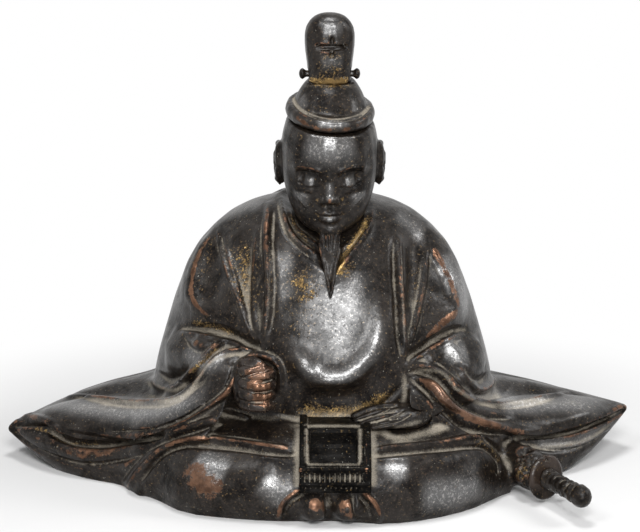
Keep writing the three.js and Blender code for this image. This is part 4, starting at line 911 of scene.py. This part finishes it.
# frame, bare square inside it, and the bands above and below the fringe
sashSquares = [((305, 424, 364, 467), 0.3), (sash["bareSquare"], -0.8), ((298, 467.5, 371, 472), 0.4),
               ((298, 483.5, 371, 486.5), 0.3)]
evenedSquares = [(311.5, 431.5, 355.5, 460.5), (312, 458, 358, 474)]
for evened in evenedSquares:
    share = squareShare(sashBronze, *evened)
    writePoints(sashBronze.data, smoothed(sashBronze.data, readPoints(sashBronze.data), 60, share))
for edges, height in sashSquares:
    share = squareShare(sashBronze, *edges)
    spots = readPoints(sashBronze.data) + readNormals(sashBronze.data) * (share * height)[:, None]
    writePoints(sashBronze.data, spots)
sashStrands = []
for i in range(sash["strands"]):
    u = sash["firstStrand"] + sash["pitch"] * i
    sashStrands.append(crease(0.42, -0.45, (u, 473), (u, 478), (u, 482.5), taper=0.1))
    sashStrands.append(brush(0.6, 0.25, (u + 2.5, 473.5), (u + 2.5, 482), taper=0.2))
    sashStrands.append(crease(0.4, -0.5, (u + 1.2, 486.6), (u + 1.2, 489.4), taper=0.1))
carve(sashBronze, sashStrands, photoRay, step=0.6)
relax(sashBronze, 1, pull=0.35)
sashMasks = maskPoints(sashBronze, sash)
around = 1 - squareShare(sashBronze, *sash["bareSquare"], soft=3.0)
sashMasks["rub"] *= around
sashMasks["dust"] *= around
paint(sashBronze, sashMasks, photoRay, rub=[
    brush(0.9, 0.5, (301.5, 446), (301.5, 486), taper=0.05),
    brush(1.1, 0.7, (366.5, 440), (366.5, 486), taper=0.05),
    brush(0.8, 0.45, (303, 469.5), (333, 469.5), (366, 469.5), taper=0.05),
], dust=[
    brush(1.3, 0.85, (307, 428), (307, 446), (307, 464), taper=0.03),
    brush(1.3, 0.85, (360, 428), (360, 446), (360, 464), taper=0.03),
    brush(0.9, 0.7, (306, 464.5), (333, 464.5), (361, 464.5), taper=0.03),
    brush(2.4, 0.9, (306, 426), (333, 426), (361, 426), taper=0.03),
    brush(1.8, 0.45, (305, 478), (333, 478), (364, 478), taper=0.03),
])
keepMasks(sashBronze, sashMasks)
print("sash finished")

# sword: crusted guard, and a hilt wrapped in a slanting band
hilt = {"voxel": 0.24, "soften": 8, "fine": 5, "coarse": 20, "ridgeAt": 0.09, "creaseAt": 0.05,
        "place": (71.6, -29.61, 8.9), "turn": math.radians(27.5), "start": 1.8, "end": 18.5,
        "pitch": 3.4, "groove": 0.45, "grooveShare": 0.2, "underBand": 0.35}
guard = {"voxel": 0.28, "soften": 5, "fine": 5, "coarse": 20, "ridgeAt": 0.09, "creaseAt": 0.06}
hiltBronze = skinOver("hilt_bronze", ["sword_hilt"], hilt)
guardBronze = skinOver("guard_bronze", ["sword_guard"], guard)
hiltAxis = Vector((math.sin(hilt["turn"]), -math.cos(hilt["turn"]), 0.0))
hiltAcross = Vector((math.cos(hilt["turn"]), math.sin(hilt["turn"]), 0.0))
hiltSpots, hiltNormals = readPoints(hiltBronze.data), readNormals(hiltBronze.data)
fromGuard = hiltSpots - np.array(hilt["place"])
hiltAlong = fromGuard @ np.array(hiltAxis)
hiltAngle = np.arctan2(fromGuard[:, 2], fromGuard @ np.array(hiltAcross))
onGrip = np.clip(hiltAlong - hilt["start"], 0, 1) * np.clip(hilt["end"] - hiltAlong, 0, 1)
for hand, depth in ((1, 1.0), (-1, hilt["underBand"])):
    phase = (hiltAlong / hilt["pitch"] + hand * hiltAngle / (2 * math.pi)) % 1
    groove = np.clip(1 - np.abs(phase - 0.5) / hilt["grooveShare"], 0, 1)
    hiltSpots -= hiltNormals * (onGrip * hilt["groove"] * groove * depth)[:, None]
writePoints(hiltBronze.data, hiltSpots)
relax(hiltBronze, 1, pull=0.4)
weather(hiltBronze, hilt)
roughen(guardBronze, guardCrust)
weather(guardBronze, guard)
print("sword finished")


# shared finishes: groups that give only masks and heights
def newGroup(name, takes, gives):
    tree = bpy.data.node_groups.new(name, "ShaderNodeTree")
    for label, kind in takes:
        tree.interface.new_socket(label, in_out="INPUT", socket_type=kind)
    for label, kind in gives:
        tree.interface.new_socket(label, in_out="OUTPUT", socket_type=kind)
    return tree, tree.nodes.new("NodeGroupInput"), tree.nodes.new("NodeGroupOutput")


def add(tree, kind, feeds=None, **settings):
    made = tree.nodes.new("ShaderNode" + kind)
    for key, value in settings.items():
        setattr(made, key, value)
    for socket, value in (feeds or {}).items():
        if isinstance(value, bpy.types.NodeSocket):
            tree.links.new(value, made.inputs[socket])
        else:
            made.inputs[socket].default_value = value
    return made


def noiseOf(tree, vector, scale, detail=3.0, roughness=0.55, distortion=0.0):
    return add(tree, "TexNoise", {"Vector": vector, "Scale": scale, "Detail": detail, "Roughness": roughness,
                                  "Distortion": distortion}).outputs["Fac"]


def sums(tree, operation, first, second):
    return add(tree, "Math", {0: first, 1: second}, operation=operation).outputs[0]


def plus(tree, first, second):
    return sums(tree, "ADD", first, second)


def times(tree, first, second):
    return sums(tree, "MULTIPLY", first, second)


def minus(tree, first, second):
    return sums(tree, "SUBTRACT", first, second)


def larger(tree, first, second):
    return sums(tree, "MAXIMUM", first, second)


def stepOf(tree, value, low, high):
    return add(tree, "MapRange", {"Value": value, "From Min": low, "From Max": high},
               interpolation_type="SMOOTHSTEP").outputs["Result"]


def mixed(tree, share, first, second):
    made = add(tree, "Mix", {"Factor": share}, data_type="RGBA")
    for socket, value in ((6, first), (7, second)):
        if isinstance(value, bpy.types.NodeSocket):
            tree.links.new(value, made.inputs[socket])
        else:
            made.inputs[socket].default_value = (*value, 1)
    return made.outputs[2]


# a noise's scale, detail, roughness and distortion, and the values between which its mask rises
mottle = {"noise": (130, 6, 0.7, 0.5), "rise": (0.32, 0.7)}
sand = {"noise": (1250, 4, 0.75), "rise": (0.48, 0.7)}
tarnish = {"noise": (260, 5, 0.65), "rise": (0.35, 0.65)}
solder = {"noise": (520, 3), "rise": (0.5, 0.62)}


def patternOf(tree, vector, pattern):
    return stepOf(tree, noiseOf(tree, vector, *pattern["noise"]), *pattern["rise"])


vectorIn = ("Vector", "NodeSocketVector")
floatIn = "NodeSocketFloat"

# grain of the casting: its relief, a cloudy mottle, fine sand and single pale specks
castGrain, start, end = newGroup("cast grain", [vectorIn], [("Height", floatIn), ("Mottle", floatIn),
                                                            ("Sand", floatIn), ("Speck", floatIn)])
place = start.outputs[0]
fine = noiseOf(castGrain, place, 2300, 2)
coarse = noiseOf(castGrain, place, 640, 4, 0.62)
cells = add(castGrain, "TexVoronoi", {"Vector": place, "Scale": 620})
pits = stepOf(castGrain, cells.outputs["Distance"], 0.05, 0.24)
relief = plus(castGrain, times(castGrain, fine, 0.14), times(castGrain, coarse, 0.7))
castMasks = {
    "Height": plus(castGrain, relief, times(castGrain, pits, 0.3)),
    "Mottle": patternOf(castGrain, place, mottle),
    "Sand": patternOf(castGrain, place, sand),
    "Speck": patternOf(castGrain, place, {"noise": (1700, 1), "rise": (0.755, 0.785)}),
}
for label, mask in castMasks.items():
    castGrain.links.new(mask, end.inputs[label])

# three masks of wear: what is painted on the points, broken up by a finer and a wider noise, each with
# (scale, detail, roughness, distortion, share), and the two sums between which the mask rises
wearGroups = {}
wearShapes = {
    "Rub": ("rubbed edges", 1.0, (420, 6, 0.72, 0.3, 1.5), (75, 3, 0.55), (1.95, 2.14)),
    "Dust": ("settled dust", 1.3, (2200, 4, 0.7, 0.0, 1.5), (160, 4, 0.6), (1.55, 3.0)),
    "Gold": ("brazing grains", 1.0, (1500, 4, 0.7, 0.0, 1.5), (330, 4, 0.65), (1.76, 2.0)),
}
for label, (name, strength, finer, wider, rise) in wearShapes.items():
    tree, start, end = newGroup(name, [vectorIn, (label, floatIn)], [("Mask", floatIn)])
    broken = times(tree, noiseOf(tree, start.outputs[0], *finer[:4]), finer[4])
    broken = plus(tree, broken, noiseOf(tree, start.outputs[0], *wider))
    painted = times(tree, start.outputs[label], strength)
    tree.links.new(stepOf(tree, plus(tree, painted, broken), *rise), end.inputs["Mask"])
    wearGroups[label] = tree


# patina, then copper where it is rubbed, brass where it was brazed, dust in the hollows and pale specks
def bronzeMaterial(name, look):
    material = bpy.data.materials.new(name)
    material.use_nodes = True
    tree = material.node_tree
    shader = tree.nodes["Principled BSDF"].inputs
    place = add(tree, "TexCoord").outputs["Object"]
    masks = {key: add(tree, "Attribute", attribute_name=key).outputs["Fac"]
             for key in ("rub", "dust", "gold", "polish")}

    def use(group, **feeds):
        made = add(tree, "Group", node_tree=group)
        tree.links.new(place, made.inputs["Vector"])
        for key, value in feeds.items():
            tree.links.new(value, made.inputs[key])
        return made.outputs

    cast = use(castGrain)
    rubbed = use(wearGroups["Rub"], Rub=plus(tree, masks["rub"], look["rub"]))["Mask"]
    dusty = use(wearGroups["Dust"], Dust=masks["dust"])["Mask"]
    brazed = use(wearGroups["Gold"], Gold=plus(tree, masks["gold"], look["gold"]))["Mask"]

    patina = mixed(tree, cast["Mottle"], look["patina"], look["patinaWarm"])
    patina = mixed(tree, cast["Sand"], patina, look["sand"])
    specks = plus(tree, noiseOf(tree, place, 1250, 4, 0.7), times(tree, masks["gold"], 0.15))
    speckled = times(tree, stepOf(tree, specks, 0.63, 0.69), look["ochreShare"])
    patina = mixed(tree, speckled, patina, look["ochre"])
    copper = mixed(tree, patternOf(tree, place, tarnish), look["copper"], look["copperDark"])
    brass = mixed(tree, patternOf(tree, place, solder), look["ochre"], look["brass"])
    colour = mixed(tree, rubbed, patina, copper)
    colour = mixed(tree, brazed, colour, brass)
    colour = mixed(tree, times(tree, dusty, look["powderShare"]), colour, look["powder"])
    colour = mixed(tree, times(tree, cast["Speck"], look["grainShare"]), colour, look["grain"])
    tree.links.new(colour, shader["Base Color"])

    metal = times(tree, larger(tree, rubbed, brazed), look["metal"])
    tree.links.new(times(tree, metal, minus(tree, 1.0, dusty)), shader["Metallic"])

    gloss = minus(tree, look["rough"], times(tree, cast["Mottle"], look["mottleGloss"]))
    gloss = minus(tree, gloss, times(tree, masks["polish"], look["polishGloss"]))
    rough = add(tree, "Mix", {"Factor": dusty, 2: gloss, 3: look["powderRough"]}, data_type="FLOAT")
    tree.links.new(rough.outputs[0], shader["Roughness"])

    # the reflection follows the mottle, and polish, which is partly painted sheen, raises it, grain by grain
    # in the index
    shine = plus(tree, look["specular"], times(tree, patternOf(tree, place, mottle), look["shine"]))
    shine = plus(tree, shine, times(tree, masks["polish"], look["polish"]))
    grainy = plus(tree, times(tree, patternOf(tree, place, sand), 0.9), 0.2)
    burnishedSheen = times(tree, times(tree, masks["polish"], grainy), look["burnishSheen"])
    tree.links.new(plus(tree, burnishedSheen, 1.5), shader["IOR"])
    tree.links.new(shine, shader["Specular IOR Level"])

    surface = plus(tree, cast["Height"], times(tree, brazed, look["brazedLift"]))
    surface = plus(tree, surface, times(tree, rubbed, look["rubbedLift"]))
    bump = add(tree, "Bump", {"Height": surface, "Strength": 1.0, "Distance": look["relief"] * mm})
    tree.links.new(bump.outputs["Normal"], shader["Normal"])
    return material


darkLook = {
    "patina": (0.0035, 0.003, 0.0028), "patinaWarm": (0.011, 0.008, 0.006), "sand": (0.030, 0.022, 0.016),
    "copper": (0.165, 0.090, 0.056), "copperDark": (0.065, 0.035, 0.022), "brass": (0.44, 0.29, 0.11),
    "ochre": (0.17, 0.11, 0.045), "ochreShare": 0.8,
    "powder": (0.46, 0.41, 0.33), "powderShare": 0.6, "powderRough": 0.8,
    "grain": (0.5, 0.48, 0.42), "grainShare": 0.6,
    "rub": 0.0, "gold": 0.0, "metal": 0.85, "rough": 0.35, "mottleGloss": 0.07, "polishGloss": 0.05,
    "specular": 0.06, "shine": 0.25, "polish": 0.75, "burnishSheen": 1.3,
    "relief": 0.13, "brazedLift": 0.8, "rubbedLift": -0.35,
}
wornLook = {**darkLook, "rub": 0.22, "patinaWarm": (0.03, 0.02, 0.015), "rough": 0.3, "relief": 0.08}
blackLook = {
    **darkLook, "patina": (0.002, 0.002, 0.002), "patinaWarm": (0.0035, 0.003, 0.0025),
    "sand": (0.012, 0.010, 0.008), "rough": 0.42, "specular": 0.0, "shine": 0.05, "relief": 0.1,
}
goldLook = {**darkLook, "rub": 0.1, "gold": 0.1, "rough": 0.3, "relief": 0.1}
finishes = {
    "dark_bronze": bronzeMaterial("dark bronze", darkLook),
    "worn_bronze": bronzeMaterial("worn bronze", wornLook),
    "black_panel": bronzeMaterial("black panel", blackLook),
    "brazed_gold": bronzeMaterial("brazed gold", goldLook),
}

# each piece, its CAD node and its slot, which also names its finish
dressed = [
    (chest, "trunk_casting", "dark_bronze"),
    (skirt, "trunk_casting", "dark_bronze"),
    (rightSleeve, "right_sleeve", "dark_bronze"),
    (leftSleeve, "left_sleeve", "dark_bronze"),
    (lap, "lap_casting", "dark_bronze"),
    (head, "head_casting", "dark_bronze"),
    (capBronze, "court_cap", "dark_bronze"),
    (crestBronze, "cap_crest", "dark_bronze"),
    (hairpinBronze, "cap_hairpin", "brazed_gold"),
    (fistBronze, "right_hand", "worn_bronze"),
    (palmBronze, "left_hand", "dark_bronze"),
    (guardBronze, "sword_guard", "worn_bronze"),
    (hiltBronze, "sword_hilt", "dark_bronze"),
    (sashBronze, "sash_panel", "black_panel"),
]
for piece, nodeName, slotName in dressed:
    keepInBox(piece)
    if piece not in robeParts:
        shadeSmooth(piece)
    piece.data.materials.clear()
    piece.data.materials.append(finishes[slotName])
    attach(piece, "root")
    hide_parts(nodeName)
nodes["neck_pin"].data.materials.clear()
nodes["neck_pin"].data.materials.append(finishes["worn_bronze"])
print("finishes and riding done,", len(dressed), "pieces")

# floor, world and lamps; the floor and the sky are white to the camera away from the object's shadow
studio = {"floor": (0.76, 0.76, 0.76), "floorRough": 0.9, "floorSpecular": 0.1, "fill": 0.2,
          "whiteFrom": 0.12, "whiteTo": 0.215, "ahead": 0.035, "aim": (0, 0, 0.06)}
# name, azimuth, elevation, reach and size in metres, light on the object
softboxes = [
    ("key", 4, 32, 0.66, 0.18, 2.0), ("side_left", -34, 46, 0.62, 0.17, 0.6),
    ("side_right", 84, 34, 0.64, 0.2, 1.0), ("front_low", 0, 3, 0.75, 0.14, 1.1),
    ("top", 0, 84, 0.62, 0.16, 1.5),
]
bpy.ops.mesh.primitive_plane_add(size=8, location=(0, 0, 0))
floor = bpy.context.object
floor.name = "studio_floor"
floorPaint = bpy.data.materials.new("floor paint")
floorPaint.use_nodes = True
ground = floorPaint.node_tree
floorShader = ground.nodes["Principled BSDF"]
floorShader.inputs["Base Color"].default_value = (*studio["floor"], 1)
floorShader.inputs["Roughness"].default_value = studio["floorRough"]
floorShader.inputs["Specular IOR Level"].default_value = studio["floorSpecular"]


def seenRays(tree):
    rays = add(tree, "LightPath").outputs
    shown = larger(tree, rays["Is Camera Ray"], rays["Is Glossy Ray"])
    return larger(tree, shown, rays["Is Transmission Ray"])


spot = add(ground, "TexCoord").outputs["Object"]
nearer = add(ground, "VectorMath", {0: spot, 1: (0, studio["ahead"], 0)})
fromMiddle = add(ground, "VectorMath", {0: nearer.outputs[0]}, operation="LENGTH")
away = stepOf(ground, fromMiddle.outputs["Value"], studio["whiteFrom"], studio["whiteTo"])
white = add(ground, "Emission", {"Color": (1, 1, 1, 1), "Strength": 1.0})
shownWhite = times(ground, away, seenRays(ground))
paper = add(ground, "MixShader", {0: shownWhite, 1: floorShader.outputs[0], 2: white.outputs[0]})
ground.links.new(paper.outputs[0], ground.nodes["Material Output"].inputs[0])
floor.data.materials.append(floorPaint)

world = bpy.data.worlds.new("studio world")
bpy.context.scene.world = world
world.use_nodes = True
air = world.node_tree
air.nodes.clear()
dim = add(air, "Background", {"Color": (1, 1, 1, 1), "Strength": studio["fill"]})
plain = add(air, "Background", {"Color": (1, 1, 1, 1), "Strength": 1.0})
choice = add(air, "MixShader", {0: seenRays(air), 1: dim.outputs[0], 2: plain.outputs[0]})
air.links.new(choice.outputs[0], air.nodes.new("ShaderNodeOutputWorld").inputs[0])

for name, azimuth, elevation, reach, size, shine in softboxes:
    turn, rise = math.radians(azimuth), math.radians(elevation)
    aim = Vector(studio["aim"])
    level = math.cos(rise)
    spot = aim + reach * Vector((math.sin(turn) * level, -math.cos(turn) * level, math.sin(rise)))
    bpy.ops.object.light_add(type="AREA", location=spot)
    lamp = bpy.context.object
    lamp.name = name
    lamp.rotation_euler = (aim - spot).to_track_quat("-Z", "Y").to_euler()
    lamp.data.shape = "SQUARE"
    lamp.data.size = size
    lamp.data.energy = shine * math.pi * reach ** 2
